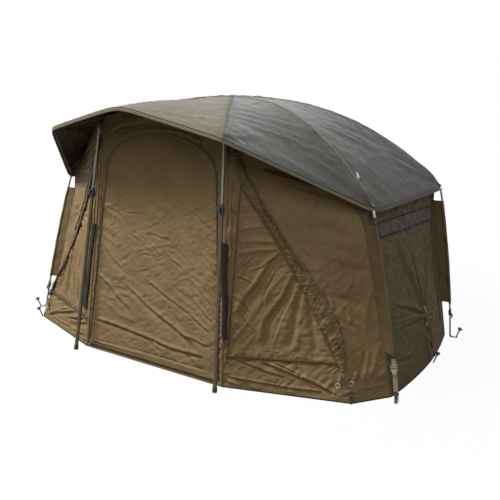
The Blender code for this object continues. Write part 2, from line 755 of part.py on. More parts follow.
def build_sleeves():
    """Fabric sleeves round the corner bars, each with a web out to the walls' corner seam."""
    inner_radius = BAR_RADIUS + SLEEVE_CLEARANCE
    outer_radius = inner_radius + SLEEVE_THICKNESS
    half = SLEEVE_THICKNESS / 2
    first_turn = math.asin(half / outer_radius)
    turns = [first_turn + index * 2.0 * (math.pi - first_turn) / (ROUND_SIDES - 1) for index in range(ROUND_SIDES)]
    mouth = inner_radius * math.cos(first_turn / 2)
    for corner in STRAPS:
        bore, skin = [], []
        for height in sleeve_heights():
            centre = on_bar(corner, height)
            seam = corner_seam(corner, min(height, WALL_CORNER_HEIGHT))
            seam.z = centre.z
            web = seam - centre
            reach = web.length - SEAM_GAP
            web.normalize()
            below, above = (on_bar(corner, height + step) for step in (-BAR_HEAD_LENGTH, BAR_HEAD_LENGTH))
            along = (above - below).normalized()
            step = along.cross(web).normalized()
            inside = [centre + web * (inner_radius * math.cos(turn)) + step * (inner_radius * math.sin(turn))
                      for turn in turns]
            outside = [centre + web * (outer_radius * math.cos(turn)) + step * (outer_radius * math.sin(turn))
                       for turn in turns]
            bore.append([centre + web * mouth + step * (half / 2), *inside, centre + web * mouth - step * (half / 2)])
            skin.append([centre + web * reach + step * half, *outside, centre + web * reach - step * half])
        for side, sign in SIDES.items():
            faces = [[[mirrored(point, sign) for point in row] for row in grid] for grid in (skin, bore)]
            add_sheet(f"corner_sleeve_{corner}_{side}", *faces, "sleeve", ring=True)


def build_buckles():
    """Ladder-lock buckles that slide on the webbing below each bar."""
    outside = (BUCKLE_DEPTH / 2, BUCKLE_WIDTH / 2)
    slot = (WEBBING_THICKNESS / 2 + BUCKLE_SLOT_CLEARANCE, WEBBING_WIDTH / 2 + BUCKLE_SLOT_CLEARANCE)
    for corner in STRAPS:
        low, high = strap_ends(corner)
        along, sideways, forwards = bar_frame(corner, low, high)
        upper = high - along * BUCKLE_DROP
        outer, inner = [], []
        for distance in (0.0, BUCKLE_HEIGHT):
            centre = upper - along * distance
            for grid, (deep, wide) in ((outer, outside), (inner, slot)):
                grid.append([centre + sideways * (deep * one) + forwards * (wide * two)
                             for one, two in ((1, 1), (1, -1), (-1, -1), (-1, 1))])
        for side, sign in SIDES.items():
            faces = [[[mirrored(point, sign) for point in row] for row in grid] for grid in (outer, inner)]
            item = add_sheet(f"strap_buckle_{corner}_{side}", *faces, "dark", ring=True)
            set_origin(item, mirrored(upper, sign))


def door_wall_y(height):
    """The front wall leans back as it rises."""
    return DOOR_WALL_FOOT_BACK + FRONT_EDGE + DOOR_WALL_LEAN * height


def arch(inset):
    """Right half of the door's outline from the foot to the middle of its head, moved inwards by an inset."""
    lean = math.atan(DOOR_SIDE_LEAN)
    half_width = DOOR_FOOT_HALF_WIDTH - inset / math.cos(lean)
    head, corner = DOOR_HEAD_RADIUS - inset, DOOR_CORNER_RADIUS - inset
    centre = DOOR_HEIGHT - DOOR_HEAD_RADIUS
    reach = (half_width * math.cos(lean) - corner - centre * math.sin(lean)) / (head - corner)
    turn = math.asin(reach) - lean
    middle = Vector(((head - corner) * math.sin(turn), centre + (head - corner) * math.cos(turn)))
    outline = []
    foot = DOOR_FOOT_HEIGHT + inset
    side_top = middle.y + corner * math.sin(lean)
    for step in range(DOOR_SIDE_STEPS):
        height = foot + (side_top - foot) * step / DOOR_SIDE_STEPS
        outline.append((half_width - DOOR_SIDE_LEAN * height, height))
    for step in range(DOOR_CORNER_STEPS):
        angle = lean + (math.pi / 2 - turn - lean) * step / DOOR_CORNER_STEPS
        outline.append((middle.x + corner * math.cos(angle), middle.y + corner * math.sin(angle)))
    for step in range(DOOR_HEAD_STEPS):
        angle = turn * (1.0 - step / DOOR_HEAD_STEPS)
        outline.append((head * math.sin(angle), centre + head * math.cos(angle)))
    return outline, (0.0, centre + head)


def on_door_wall(x, height):
    """A point on the outer face of the front wall."""
    return Vector((x, door_wall_y(height), height))


def door_seam(height):
    """Half width of the front wall at a height, where the wing walls begin behind the poles."""
    return DOOR_SEAM_FOOT_OUT - DOOR_SEAM_LEAN * height


def front_head(x):
    """The top of the front wall, under the canopy."""
    height = PEAK_HEIGHT
    for _ in range(4):
        height = canopy_under(x, door_wall_y(height))
    return height


def corner_head():
    """The front wall's height behind a pole, where it is cut down to let the brim rib through."""
    return front_head(door_seam(CROWN_HEIGHT)) - RIB_NOTCH


def build_door():
    """The door panel, which hinges down at its foot, and the arched surround that it is zipped to."""
    inward = BACKWARD * WALL_THICKNESS
    outline, _ = arch(DOOR_ZIP_GAP)
    rows = []
    for x, height in outline:
        row = []
        for column in range(DOOR_COLUMNS + 1):
            share = 2.0 * column / DOOR_COLUMNS - 1.0
            row.append(on_door_wall(share * x, height))
        rows.append(row)
    for index, row in enumerate(rows):
        for column, point in enumerate(row):
            up, across = index / (len(rows) - 1), column / DOOR_COLUMNS
            fade = math.sin(math.pi * up) * math.sin(math.pi * across)
            wave = math.sin(DOOR_FOLDS * math.pi * (across + up))
            point.y += DOOR_FOLD_HEIGHT * fade * wave
    door = add_sheet("door_panel", rows, thicken(rows, inward), "wall")
    set_origin(door, on_door_wall(0.0, DOOR_FOOT_HEIGHT))

    opening, crest = arch(0.0)
    right_inner = opening + [crest]
    head_height = corner_head()
    head_steps = len(right_inner) - SURROUND_SIDE_STEPS
    heights = [head_height * step / SURROUND_SIDE_STEPS for step in range(SURROUND_SIDE_STEPS)]
    right_outer = [(door_seam(height) - WALL_GAP, height) for height in heights]
    corner_out = door_seam(head_height) - WALL_GAP
    for step in range(head_steps):
        x = corner_out * (1.0 - step / (head_steps - 1))
        right_outer.append((x, front_head(x) if step else head_height))
    loops = []
    for half in (right_inner, right_outer):
        left = [(-x, height) for x, height in reversed(half[:-1])]
        loops.append([on_door_wall(x, height) for x, height in half + left])
    middle = [first.lerp(second, 0.5) for first, second in zip(*loops)]
    rings = [loops[0], middle, loops[1]]
    add_sheet("door_surround", rings, thicken(rings, inward), "wall", ring=True)


def window_seam(share):
    """The slanting seam from the window's head to its lower corner, hollowed inwards in the middle."""
    head = place(WINDOW_ZIP_OUT, WINDOW_HEAD_BACK, WINDOW_HEAD_HEIGHT)
    corner = place(WINDOW_CORNER_OUT, WINDOW_CORNER_BACK, WINDOW_CORNER_HEIGHT)
    return head.lerp(corner, share) + BACKWARD * (WINDOW_SEAM_HOLLOW * math.sin(math.pi * share))


def window_zip(share):
    """The upright zip from the window's head down to its foot, in one plane with the front wall's seam."""
    head = window_seam(0.0)
    slope = (head.y - door_wall_y(head.z)) / (head.x - door_seam(head.z))
    foot_y = door_wall_y(WINDOW_ZIP_FOOT) + (WINDOW_ZIP_OUT - door_seam(WINDOW_ZIP_FOOT)) * slope
    return head.lerp(Vector((WINDOW_ZIP_OUT, foot_y, WINDOW_ZIP_FOOT)), share)


def inset_line(first, second, distance):
    """Two points drawn towards each other by a distance."""
    step = (second - first).normalized() * distance
    return first + step, second - step


def build_windows():
    """Three-cornered window flaps, hinged along their slanting seams, with fan folds from the upper corner."""
    inward = BACKWARD * WALL_THICKNESS
    last_share = 1.0 - WINDOW_FOOT_GAP / (WINDOW_HEAD_HEIGHT - WINDOW_CORNER_HEIGHT)
    for side, sign in SIDES.items():
        rows = []
        count, columns = 12, 8
        for level in range(count + 1):
            share = WINDOW_FIRST_SHARE + (last_share - WINDOW_FIRST_SHARE) * level / count
            left, right = inset_line(window_zip(share), window_seam(share), WINDOW_ZIP_GAP)
            row = []
            for column in range(columns + 1):
                across = column / columns
                point = left.lerp(right, across)
                fade = math.sin(math.pi * across) * math.sin(math.pi * level / count)
                point.y += WINDOW_FOLD_HEIGHT * fade * math.sin(WINDOW_FOLDS * math.pi * across)
                row.append(mirrored(point, sign))
            rows.append(row)
        flap = add_sheet(f"window_flap_{side}", rows, thicken(rows, inward), "wall")
        set_origin(flap, mirrored(window_seam(0.0), sign))


def resample(path, count):
    """Points at equal steps along a path of points, first and last included."""
    lengths = [0.0]
    for first, second in zip(path, path[1:]):
        lengths.append(lengths[-1] + (second - first).length)
    result = []
    for index in range(count):
        target = lengths[-1] * index / (count - 1)
        place_in = max(position for position in range(len(lengths)) if lengths[position] <= target + 1e-9)
        if place_in == len(path) - 1:
            result.append(path[-1].copy())
            continue
        share = (target - lengths[place_in]) / (lengths[place_in + 1] - lengths[place_in])
        result.append(path[place_in].lerp(path[place_in + 1], share))
    return result


def wing_foot():
    """Ground points of a wing wall: behind the pole, at the pegged corner, and at the corner seam."""
    start = on_door_wall(door_seam(0.0) + WALL_GAP, 0.0)
    return start, place(SIDE_CORNER_OUT, SIDE_CORNER_BACK, 0.0), corner_seam("front", 0.0)


def build_wing_walls():
    """Wing walls between the door wall and the front corner seams, each open at its window."""
    inward = BACKWARD * WALL_THICKNESS
    start, pegged, seam_foot = wing_foot()
    head_height = corner_head()
    head = on_door_wall(door_seam(head_height) + WALL_GAP, head_height)
    clear = -OUTWARD * WALL_GAP
    corner_top = corner_seam("front", WALL_CORNER_HEIGHT)
    eave = hung_top(RIBS[("front", "right")](WALL_EAVE_SHARE - EAVE_RAMP_SHARE / 4))
    head_steps = 7
    down = resample([head, start], ZIP_POINTS)
    along_hem = resample([start, pegged], HEM_POINTS)
    up = resample([pegged, seam_foot + clear], 3)[1:] + resample([seam_foot + clear, corner_top + clear], 7)[1:]
    back = [hung_top(eave.lerp(head, step / head_steps)) for step in range(1, head_steps)]
    outer = down + along_hem[1:] + up + back
    zip_side = [window_zip(index / (ZIP_POINTS - 1)) for index in range(ZIP_POINTS)]
    foot_side = resample([window_zip(1.0), window_seam(1.0)], HEM_POINTS)[1:]
    rest = len(outer) - len(zip_side) - len(foot_side)
    seam_side = [window_seam(1.0 - (index + 1) / (rest + 1)) for index in range(rest)]
    inner = zip_side + foot_side + seam_side
    levels = 4
    rings = [[one.lerp(two, level / levels) for one, two in zip(inner, outer)] for level in range(levels + 1)]
    for side, sign in SIDES.items():
        faces = [[mirrored(point, sign) for point in ring] for ring in rings]
        add_sheet(f"wing_wall_{side}", faces, thicken(faces, inward), "wall", ring=True)


def side_head(share):
    """A side wall's upper edge: from one corner seam up under the eave, along it, and down to the other."""
    front = RIBS[("front", "right")](WALL_EAVE_SHARE)
    rear = RIBS[("rear", "right")](WALL_EAVE_SHARE)
    under = hung_top(front.lerp(rear, share))
    ends = (corner_seam("front", WALL_CORNER_HEIGHT), corner_seam("rear", WALL_CORNER_HEIGHT))
    if share < EAVE_RAMP_SHARE:
        turn = hung_top(front.lerp(rear, EAVE_RAMP_SHARE))
        return ends[0].lerp(turn, share / EAVE_RAMP_SHARE)
    if share > 1.0 - EAVE_RAMP_SHARE:
        turn = hung_top(front.lerp(rear, 1.0 - EAVE_RAMP_SHARE))
        return turn.lerp(ends[1], (share - 1.0 + EAVE_RAMP_SHARE) / EAVE_RAMP_SHARE)
    return under


def side_wall_point(share, up):
    """A point on a side wall's outer face: share from front to rear, up from the hem to the eave."""
    hem = corner_seam("front", 0.0).lerp(corner_seam("rear", 0.0), share)
    hem.x += SIDE_HEM_BOW * 4.0 * share * (1.0 - share)
    point = hem.lerp(side_head(share), up)
    pull = math.exp(-((share - GUY_PULL_SHARE) / SIDE_FOLD_WIDTH_SHARE) ** 2
                    - ((up - SIDE_FOLD_UP_SHARE) / SIDE_FOLD_TALL_SHARE) ** 2)
    point.x += SIDE_FOLD_HEIGHT * pull
    return point


def build_side_walls():
    """Side walls between the corner seams, drawn out a little where the guy pulls."""
    middle = 9
    level_part = 1.0 - 2.0 * EAVE_RAMP_SHARE
    shares = [0.0, EAVE_RAMP_SHARE / 2]
    shares += [EAVE_RAMP_SHARE + level_part * step / middle for step in range(middle + 1)]
    shares += [1.0 - EAVE_RAMP_SHARE / 2, 1.0]
    levels = 9
    for side, sign in SIDES.items():
        rows = []
        for level in range(levels + 1):
            row = []
            for share in shares:
                point = side_wall_point(share, level / levels)
                point.y += (WALL_THICKNESS + WALL_GAP) * (1.0 - share)
                row.append(mirrored(point, sign))
            rows.append(row)
        add_sheet(f"side_wall_{side}", rows, thicken(rows, OUTWARD * (-sign * WALL_THICKNESS)), "side")


def back_wall_columns():
    """Plan of the back wall from the right rear corner seam round to the left one: hem points and head points."""
    start = WALL_THICKNESS + WALL_GAP
    seam_foot = corner_seam("rear", 0.0) + BACKWARD * start
    seam_head = corner_seam("rear", WALL_CORNER_HEIGHT) + BACKWARD * start
    corner = place(BACK_CORNER_OUT, REAR_HEM_BACK, 0.0)
    rear = RIBS[("rear", "right")](WALL_EAVE_SHARE)
    back = RIBS[("back", "right")](BACK_EAVE_SHARE)
    columns = []
    steps = 6
    for step in range(steps + 1):
        share = step / steps
        head = hung_top(rear.lerp(back, share))
        if share < EAVE_RAMP_SHARE:
            head = seam_head
        columns.append((seam_foot.lerp(corner, share), head))
    middle = 4
    far = mirrored(corner, -1)
    for step in range(1, middle):
        share = step / middle
        head = hung_top(back.lerp(mirrored(back, -1), share))
        columns.append((corner.lerp(far, share), head))
    return columns + [(mirrored(hem, -1), mirrored(head, -1)) for hem, head in reversed(columns[:steps + 1])]


def build_back_wall():
    """One panel round the back, from corner seam to corner seam."""
    columns = back_wall_columns()
    levels = 6
    rows = [[hem.lerp(head, level / levels) for hem, head in columns] for level in range(levels + 1)]
    inner = [offset_plan(row, -WALL_THICKNESS) for row in rows]
    add_sheet("back_wall", rows, inner, "side")


def guy_ends():
    """The right-hand storm guy: where it leaves the wall, and where it is tied to its peg."""
    share = GUY_PULL_SHARE
    up = GUY_HEIGHT / side_head(share).z
    wall = side_wall_point(share, up)
    wall.y += (WALL_THICKNESS + WALL_GAP) * (1.0 - share)
    hem = side_wall_point(share, 0.0)
    return wall, hem


def peg_line(place_on_ground, outward):
    """A peg's line: the ground end that stands outside a hem, and the direction in which it is drawn out."""
    lean = math.radians(PEG_LEAN_DEG)
    rise = outward * math.sin(lean) + UP * math.cos(lean)
    flat = PEG_RADIUS * math.cos(math.pi / PEG_SIDES)
    foot = place_on_ground + outward * (flat * math.cos(lean) + PEG_GAP) + UP * (PEG_RADIUS * math.sin(lean))
    return foot, rise


def peg_sites():
    """The right-hand pegs: at the wing's corner, through both corner straps' loops, and at the storm guy."""
    _, pegged, _ = wing_foot()
    _, hem = guy_ends()
    sites = {"corner": (pegged, heading(CORNER_PEG_TURN_DEG))}
    for corner, (_, _, outward) in STRAPS.items():
        sites[corner] = (bar_ends(corner)[0] + outward * (LOOP_LENGTH - PEG_HEAD_RADIUS), outward)
    sites["guy"] = (hem + OUTWARD * PEG_HEAD_RADIUS, OUTWARD)
    return sites


def build_pegs():
    """Ground pegs with mushroom heads, drawn from the ground up; each pulls out along its own line."""
    for name, (ground, outward) in peg_sites().items():
        foot, rise = peg_line(ground, outward)
        profile = [(0.0, PEG_RADIUS), (PEG_HEIGHT - PEG_HEAD_HEIGHT - PEG_NECK_HEIGHT, PEG_RADIUS),
                   (PEG_HEIGHT - PEG_HEAD_HEIGHT, PEG_NECK_RADIUS), (PEG_HEIGHT - PEG_HEAD_HEIGHT, PEG_HEAD_RADIUS),
                   (PEG_HEIGHT - PEG_HEAD_HEIGHT / 2, PEG_HEAD_RADIUS), (PEG_HEIGHT, PEG_HEAD_RADIUS / 2)]
        for side, sign in SIDES.items():
            start = mirrored(foot, sign)
            end = start + mirrored(rise, sign)
            set_origin(add_turned(f"peg_{name}_{side}", start, end, profile, "dark", sides=PEG_SIDES), start)


def build_guys():
    """Storm guys from the side walls down to their pegs."""
    wall, _ = guy_ends()
    foot, rise = peg_line(*peg_sites()["guy"])
    top = foot + rise * GUY_KNOT_HEIGHT
    start = wall + OUTWARD * (GUY_RADIUS + SEAM_GAP)
    end = top - OUTWARD * (PEG_RADIUS + GUY_RADIUS + PEG_GAP)
    steps = 12
    for side, sign in SIDES.items():
        path = [mirrored(start.lerp(end, step / steps), sign) for step in range(steps + 1)]
        add_tube(f"storm_guy_{side}", path, GUY_RADIUS, "dark", resolution=2)


def add_slider(name, centre, along, outwards, pivot):
    """A zip slider: a small block with its length along the zip and its back to the wall."""
    across = along.cross(outwards).normalized()
    base = centre + outwards * SLIDER_CLEARANCE
    sections = []
    for distance, scale in ((0.0, 1.0), (SLIDER_THICKNESS, SLIDER_TAPER_SHARE)):
        half_long = along * (SLIDER_LENGTH / 2 * scale)
        half_wide = across * (SLIDER_WIDTH / 2 * scale)
        middle = base + outwards * distance
        sections.append([middle - half_long - half_wide, middle - half_long + half_wide,
                         middle + half_long + half_wide, middle + half_long - half_wide])
    return set_origin(add_loft(name, sections, "dark"), pivot)


def build_sliders():
    """Zip sliders: one at the head of the door's arch and one at the foot of each window's upright zip."""
    wall_out = Vector((0.0, -1.0, DOOR_WALL_LEAN)).normalized()
    height = DOOR_HEIGHT + SLIDER_WIDTH / 2 + DOOR_ZIP_GAP
    arc_centre = on_door_wall(0.0, DOOR_HEIGHT - DOOR_HEAD_RADIUS)
    add_slider("door_zip_slider", on_door_wall(0.0, height), OUTWARD, wall_out, arc_centre)
    for side, sign in SIDES.items():
        along = (window_zip(0.0) - window_zip(1.0)).normalized()
        zip_foot = window_zip(1.0) + along * (SLIDER_LENGTH / 2)
        across = (zip_foot - on_door_wall(door_seam(zip_foot.z) + WALL_GAP, zip_foot.z)).normalized()
        centre = mirrored(zip_foot - across * (SLIDER_WIDTH / 2 + WINDOW_ZIP_GAP), sign)
        outwards = along.cross(across).normalized()
        if outwards.y > 0.0:
            outwards.negate()
        add_slider(f"window_zip_slider_{side}", centre, mirrored(along, sign), mirrored(outwards, sign), centre)


def main():
    """Builds the pitched tent in an empty scene."""
    for item in list(bpy.data.objects):
        bpy.data.objects.remove(item, do_unlink=True)
    build_canopy()
    build_binding()
    build_crown()
    build_ribs()
    build_poles()
    build_corner_bars()
    build_sleeves()
    build_buckles()
    build_door()
    build_windows()
    build_wing_walls()
    build_side_walls()
    build_back_wall()
    build_pegs()
    build_guys()
    build_sliders()


main()
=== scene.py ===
"""Looks of the pitched bivvy tent: its cloth, tapes, zips, poles, straps and pegs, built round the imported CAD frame.

Metres, +Z up. The door faces -Y and +X is the right-hand side seen from in front, as in the CAD source, whose
lines are repeated here so that each sheet of cloth lies where its solid is.
"""
import logging
import math
from dataclasses import dataclass, field
from enum import Enum
from typing import Callable, Iterable, Sequence

import bmesh
import bpy
import numpy as np
from mathutils import Matrix, Vector
from mathutils.bvhtree import BVHTree


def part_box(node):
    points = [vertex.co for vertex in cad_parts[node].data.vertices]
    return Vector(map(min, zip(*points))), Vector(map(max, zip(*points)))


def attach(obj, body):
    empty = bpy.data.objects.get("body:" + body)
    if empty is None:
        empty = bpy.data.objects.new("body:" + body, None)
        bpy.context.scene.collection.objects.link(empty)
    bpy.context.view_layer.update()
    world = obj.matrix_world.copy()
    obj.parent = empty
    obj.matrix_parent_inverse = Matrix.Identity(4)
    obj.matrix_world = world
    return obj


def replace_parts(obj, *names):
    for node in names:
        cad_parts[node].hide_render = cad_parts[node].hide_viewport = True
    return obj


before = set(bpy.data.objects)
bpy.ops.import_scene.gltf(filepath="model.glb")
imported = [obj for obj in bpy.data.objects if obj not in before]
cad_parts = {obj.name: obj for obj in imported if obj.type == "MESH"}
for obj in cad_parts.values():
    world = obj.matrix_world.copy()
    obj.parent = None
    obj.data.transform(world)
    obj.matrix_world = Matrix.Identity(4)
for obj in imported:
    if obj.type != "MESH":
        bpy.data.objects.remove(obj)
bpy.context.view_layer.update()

Array = np.ndarray
Curve = Callable[[Array], Array]
Flat = Sequence[Sequence[float]]
Piece = bpy.types.Object
LOG = logging.getLogger("tent")
OUT = np.array((1.0, 0.0, 0.0))
BACK = np.array((0.0, 1.0, 0.0))
UP = np.array((0.0, 0.0, 1.0))
FLIPPED = np.array((-1.0, 1.0))
LEVEL = np.array((1.0, 1.0, 0.0))
ROOT = "shelter"
FOLD_DEPTH = 1.55  # how much deeper all folds are than the heights that they are listed with
FOLD_WIDTH = 0.72  # how much narrower they are than their listed widths
STEP_GAIN = 2.33  # makes a step's ridge as high as a plain one
PLEAT_DEPTH = 1.3  # how much deeper the gathers are than their listed heights
SEAM_TOP = 0.8  # height of the sewn edge between two walls
GUY_SHARE = 0.545  # where the storm guy is, along the side wall from front to rear
GUY_PULL = (94, 257)  # the same place on the side wall, in millimetres back and up
FULL_TURN = 2.0 * math.pi
EAVE = 0.935  # where the walls' heads meet a rib, along it from the crown
BACK_EAVE = 0.965  # the same on the ribs at the back
WALL_GAP = 0.0005  # half of the gap between two walls that are sewn together
SLIDER_SIZE = (0.0135, 0.0078, 0.0044)


class Side(Enum):
    """The two sides of the tent, with the sign of X on each."""

    RIGHT = 1
    LEFT = -1

    @property
    def label(self) -> str:
        """The side's word in the names of nodes."""
        return self.name.lower()


class Corner(Enum):
    """The two corners on each side that are held down by a tension bar and a strap."""

    FRONT = "front"
    REAR = "rear"


Rib = tuple[str, Side]
# Each rib's end: how far out, back and up it is, and the power with which the rib bends down.
TIPS = {"brim": (0.571, 0.064, 1.253, 1.6), "front": (1.08, 0.612, 0.895, 2.5), "rear": (1.09, 1.488, 0.9, 2.4),
        "back": (0.48, 1.905, 0.93, 2.5)}
RIBS = tuple((name, side) for name in TIPS for side in Side)


class Shape(Enum):
    """How a fold is shaped across its line."""

    STEP = "a ridge on one hand and a hollow on the other"
    RIDGE = "a ridge along the line"


class Pattern(Enum):
    """What the surface of a small part is patterned with."""

    RIBS = "even ribs across the length"
    GRAIN = "random grain"


def lerp(first: Array, second: Array, share: Array | float) -> Array:
    """Points between two others, by share."""
    share = np.asarray(share, float)[..., None]
    return np.asarray(first, float) * (1.0 - share) + np.asarray(second, float) * share


def smooth_step(value: Array | float, low: float, high: float) -> Array:
    """A soft rise from 0 at low to 1 at high."""
    share = np.clip((value - low) / (high - low), 0.0, 1.0)
    return share * share * (3.0 - 2.0 * share)


def unit(vector: Array) -> Array:
    """The vector or vectors made one metre long."""
    return vector / np.maximum(np.linalg.norm(vector, axis=-1, keepdims=True), 1e-12)


def mirrored(points: Array, side: Side) -> Array:
    """Right-hand points put on the given side."""
    return points * np.array((side.value, 1.0, 1.0))


def mm(*numbers: float) -> Array:
    """Pairs of measures that are listed one after another in millimetres, in metres."""
    return np.array(numbers, float).reshape(-1, 2) / 1000.0


def evenly(count: int) -> Array:
    """Evenly spaced shares from 0 to 1."""
    return np.linspace(0, 1, count)


def round_turns(count: int) -> Array:
    """Evenly spaced angles round a circle."""
    return np.linspace(0.0, 2.0 * math.pi, count, endpoint=False)


def square_to(vector: Array, axis: Array) -> Array:
    """The direction of a vector made square to an axis."""
    return unit(vector - axis * float(vector @ axis))


def forward(vector: Array) -> Array:
    """The vector or its opposite, whichever points to the tent's front."""
    return vector if vector[1] < 0.0 else -vector


def paired(first: Array, second: Array) -> Array:
    """The two flat measures of each place of a grid."""
    return np.stack(np.broadcast_arrays(first, second), axis=2)


def arc_lengths(points: Array) -> Array:
    """Distances along a line of points, starting at 0."""
    return np.concatenate(([0.0], np.cumsum(np.linalg.norm(np.diff(points, axis=0), axis=1))))


def line_through(points: Flat, knots: Sequence[float] | None = None, softness: float = 0.0) -> Curve:
    """A curve through points.

    Args:
        points: the places it passes.
        knots: the share of the curve at each point; by length where None.
        softness: the share of the length over which its corners are rounded.

    Returns:
        A function from shares of the curve to places on it.
    """
    at = np.asarray(points, float)
    where = np.asarray(knots, float) if knots is not None else arc_lengths(at) / arc_lengths(at)[-1]
    parts = range(at.shape[1])
    if softness > 0.0:
        fine = evenly(401)
        drawn = np.stack([np.interp(fine, where, at[:, axis]) for axis in parts], axis=1)
        reach = max(int(softness * 400), 1)
        ahead, behind = 2.0 * drawn[:1] - drawn[reach:0:-1], 2.0 * drawn[-1:] - drawn[-2:-reach - 2:-1]
        padded = np.concatenate([ahead, drawn, behind])
        weights = np.hanning(2 * reach + 1)
        weights /= weights.sum()
        at = np.stack([np.convolve(padded[:, axis], weights, mode="valid") for axis in parts], axis=1)
        where = fine
    return lambda shares: np.stack([np.interp(shares, where, at[:, axis]) for axis in parts], axis=-1)


def coons(bottom: Curve, top: Curve, left: Curve, right: Curve, columns: int, rows: int) -> Array:
    """A patch of cloth stretched between four edges that meet at their ends.

    Args:
        bottom: lower edge, from left to right.
        top: upper edge, from left to right.
        left: left edge, upwards.
        right: right edge, upwards.
        columns: points across.
        rows: points up.

    Returns:
        Points in rows and columns.
    """
    u, v = evenly(columns), evenly(rows)
    across, up = u[None, :, None], v[:, None, None]
    low, high, near, far = bottom(u)[None], top(u)[None], left(v)[:, None], right(v)[:, None]
    corners = ((1 - across) * (1 - up) * low[:, :1] + across * (1 - up) * low[:, -1:]
               + (1 - across) * up * high[:, :1] + across * up * high[:, -1:])
    return (1 - up) * low + up * high + (1 - across) * near + across * far - corners


def noise(x: Array, y: Array, seed: int) -> Array:
    """Smooth random hills between -1 and 1, the same on each run.

    Args:
        x: first measure, in hills.
        y: second measure, in hills.
        seed: which of the random fields.

    Returns:
        A height for each place.
    """
    column, row = np.floor(x).astype(np.int64), np.floor(y).astype(np.int64)
    over, up = (part ** 3 * (part * (part * 6.0 - 15.0) + 10.0) for part in (x - column, y - row))

    def post(across: int, along: int) -> Array:
        """Random heights at one corner of each cell.

        Args:
            across: 0 for the cell's near corner, 1 for the next one.
            along: the same in the second measure.

        Returns:
            A height from -1 to 1 for each place.
        """
        mixed = ((column + across) * 374761393 + (row + along) * 668265263 + seed * 974634777) & 0xFFFFFFFF
        mixed = ((mixed ^ (mixed >> 13)) * 1274126177) & 0xFFFFFFFF
        return ((mixed ^ (mixed >> 16)) & 0xFFFF) / 32767.5 - 1.0

    low = post(0, 0) * (1 - over) + post(1, 0) * over
    high = post(0, 1) * (1 - over) + post(1, 1) * over
    return low * (1 - up) + high * up


def nearest(line: Flat, x: Array, y: Array) -> tuple[Array, Array, Array, float]:
    """Where each place of a wall lies beside a line that is drawn on it.

    Args:
        line: the line's points, in the wall's own two measures.
        x: first measure of each place.
        y: second measure of each place.

    Returns:
        Each place's gap to the line, its hand, its distance along the line, and the line's length.
    """
    at = np.asarray(line, float)
    lengths = np.concatenate(([0.0], np.cumsum(np.hypot(*np.diff(at, axis=0).T))))
    best, hand, distance = np.full(x.shape, np.inf), np.zeros(x.shape), np.zeros(x.shape)
    for start, end, passed in zip(at, at[1:], lengths):
        step = end - start
        size = float(step @ step)
        along = np.clip(((x - start[0]) * step[0] + (y - start[1]) * step[1]) / size, 0.0, 1.0)
        gap_x, gap_y = x - start[0] - along * step[0], y - start[1] - along * step[1]
        gap = np.hypot(gap_x, gap_y)
        nearer = gap < best
        best = np.where(nearer, gap, best)
        hand = np.where(nearer, np.sign(step[0] * gap_y - step[1] * gap_x), hand)
        distance = np.where(nearer, passed + along * math.sqrt(size), distance)
    return best, hand, distance, float(lengths[-1])


@dataclass(frozen=True)
class Fold:
    """One fold of cloth along a line drawn on a wall; below 0 a step's ridge and hollow change places."""

    line: Flat
    height: float
    width: float = 0.014
    shape: Shape = Shape.STEP
    fade: float = 0.25
    spread: float = 0.0

    def lift(self, x: Array, y: Array) -> Array:
        """Height of the fold over each place of the wall.

        Args:
            x: the wall's first measure at each place, in metres.
            y: its second measure there.

        Returns:
            The heights, in metres.
        """
        gap, hand, distance, length = nearest(self.line, x, y)
        share = distance / length
        reach = gap / (FOLD_WIDTH * self.width * (1.0 + self.spread * share))
        profile = np.exp(-reach ** 2)
        if self.shape is Shape.STEP:
            profile = STEP_GAIN * hand * reach * profile
        ends = smooth_step(share, 0.0, self.fade) * smooth_step(1.0 - share, 0.0, self.fade)
        return FOLD_DEPTH * self.height * ends * profile


def folds(shape: Shape, fade: float, spread: float, *rows: Sequence[float]) -> list[Fold]:
    """Folds of one shape.

    Args:
        shape: how they are shaped across their lines.
        fade: the share of each line over which its ends fade.
        spread: how much wider each grows along its line.
        rows: for each its height, its width, and the two measures of each point of its line, in millimetres.

    Returns:
        The folds.
    """
    return [Fold(mm(*row[2:]), row[0] / 1000.0, row[1] / 1000.0, shape, fade, spread) for row in rows]


@dataclass(frozen=True)
class Gather:
    """Small pleats that stand square to a gathered edge and die out away from it."""

    line: Flat
    height: float
    pitch: float
    reach: float
    lean: float = 0.0
    seed: int = 1
    both: bool = True
    still: float = 0.009

    def lift(self, x: Array, y: Array) -> Array:
        """Height of the pleats over each place of the wall.

        Args:
            x: the wall's first measure at each place, in metres.
            y: its second measure there.

        Returns:
            The heights, in metres.
        """
        gap, hand, distance, length = nearest(self.line, x, y)
        ends = smooth_step(distance, 0.0, self.pitch) * smooth_step(length - distance, 0.0, self.pitch)
        phase = (distance + self.lean * gap * hand) / self.pitch
        waves = noise(phase * 2.0, gap / self.reach * 0.8, self.seed)
        fall = np.exp(-(gap / self.reach) ** 1.5)
        if self.still > 0.0:
            fall = fall * 1.25 * smooth_step(gap, 0.0, self.still)
        if not self.both:
            fall = np.where(hand >= 0.0, fall, 0.0)
        return PLEAT_DEPTH * self.height * np.sign(waves) * np.abs(waves) ** 0.75 * fall * ends


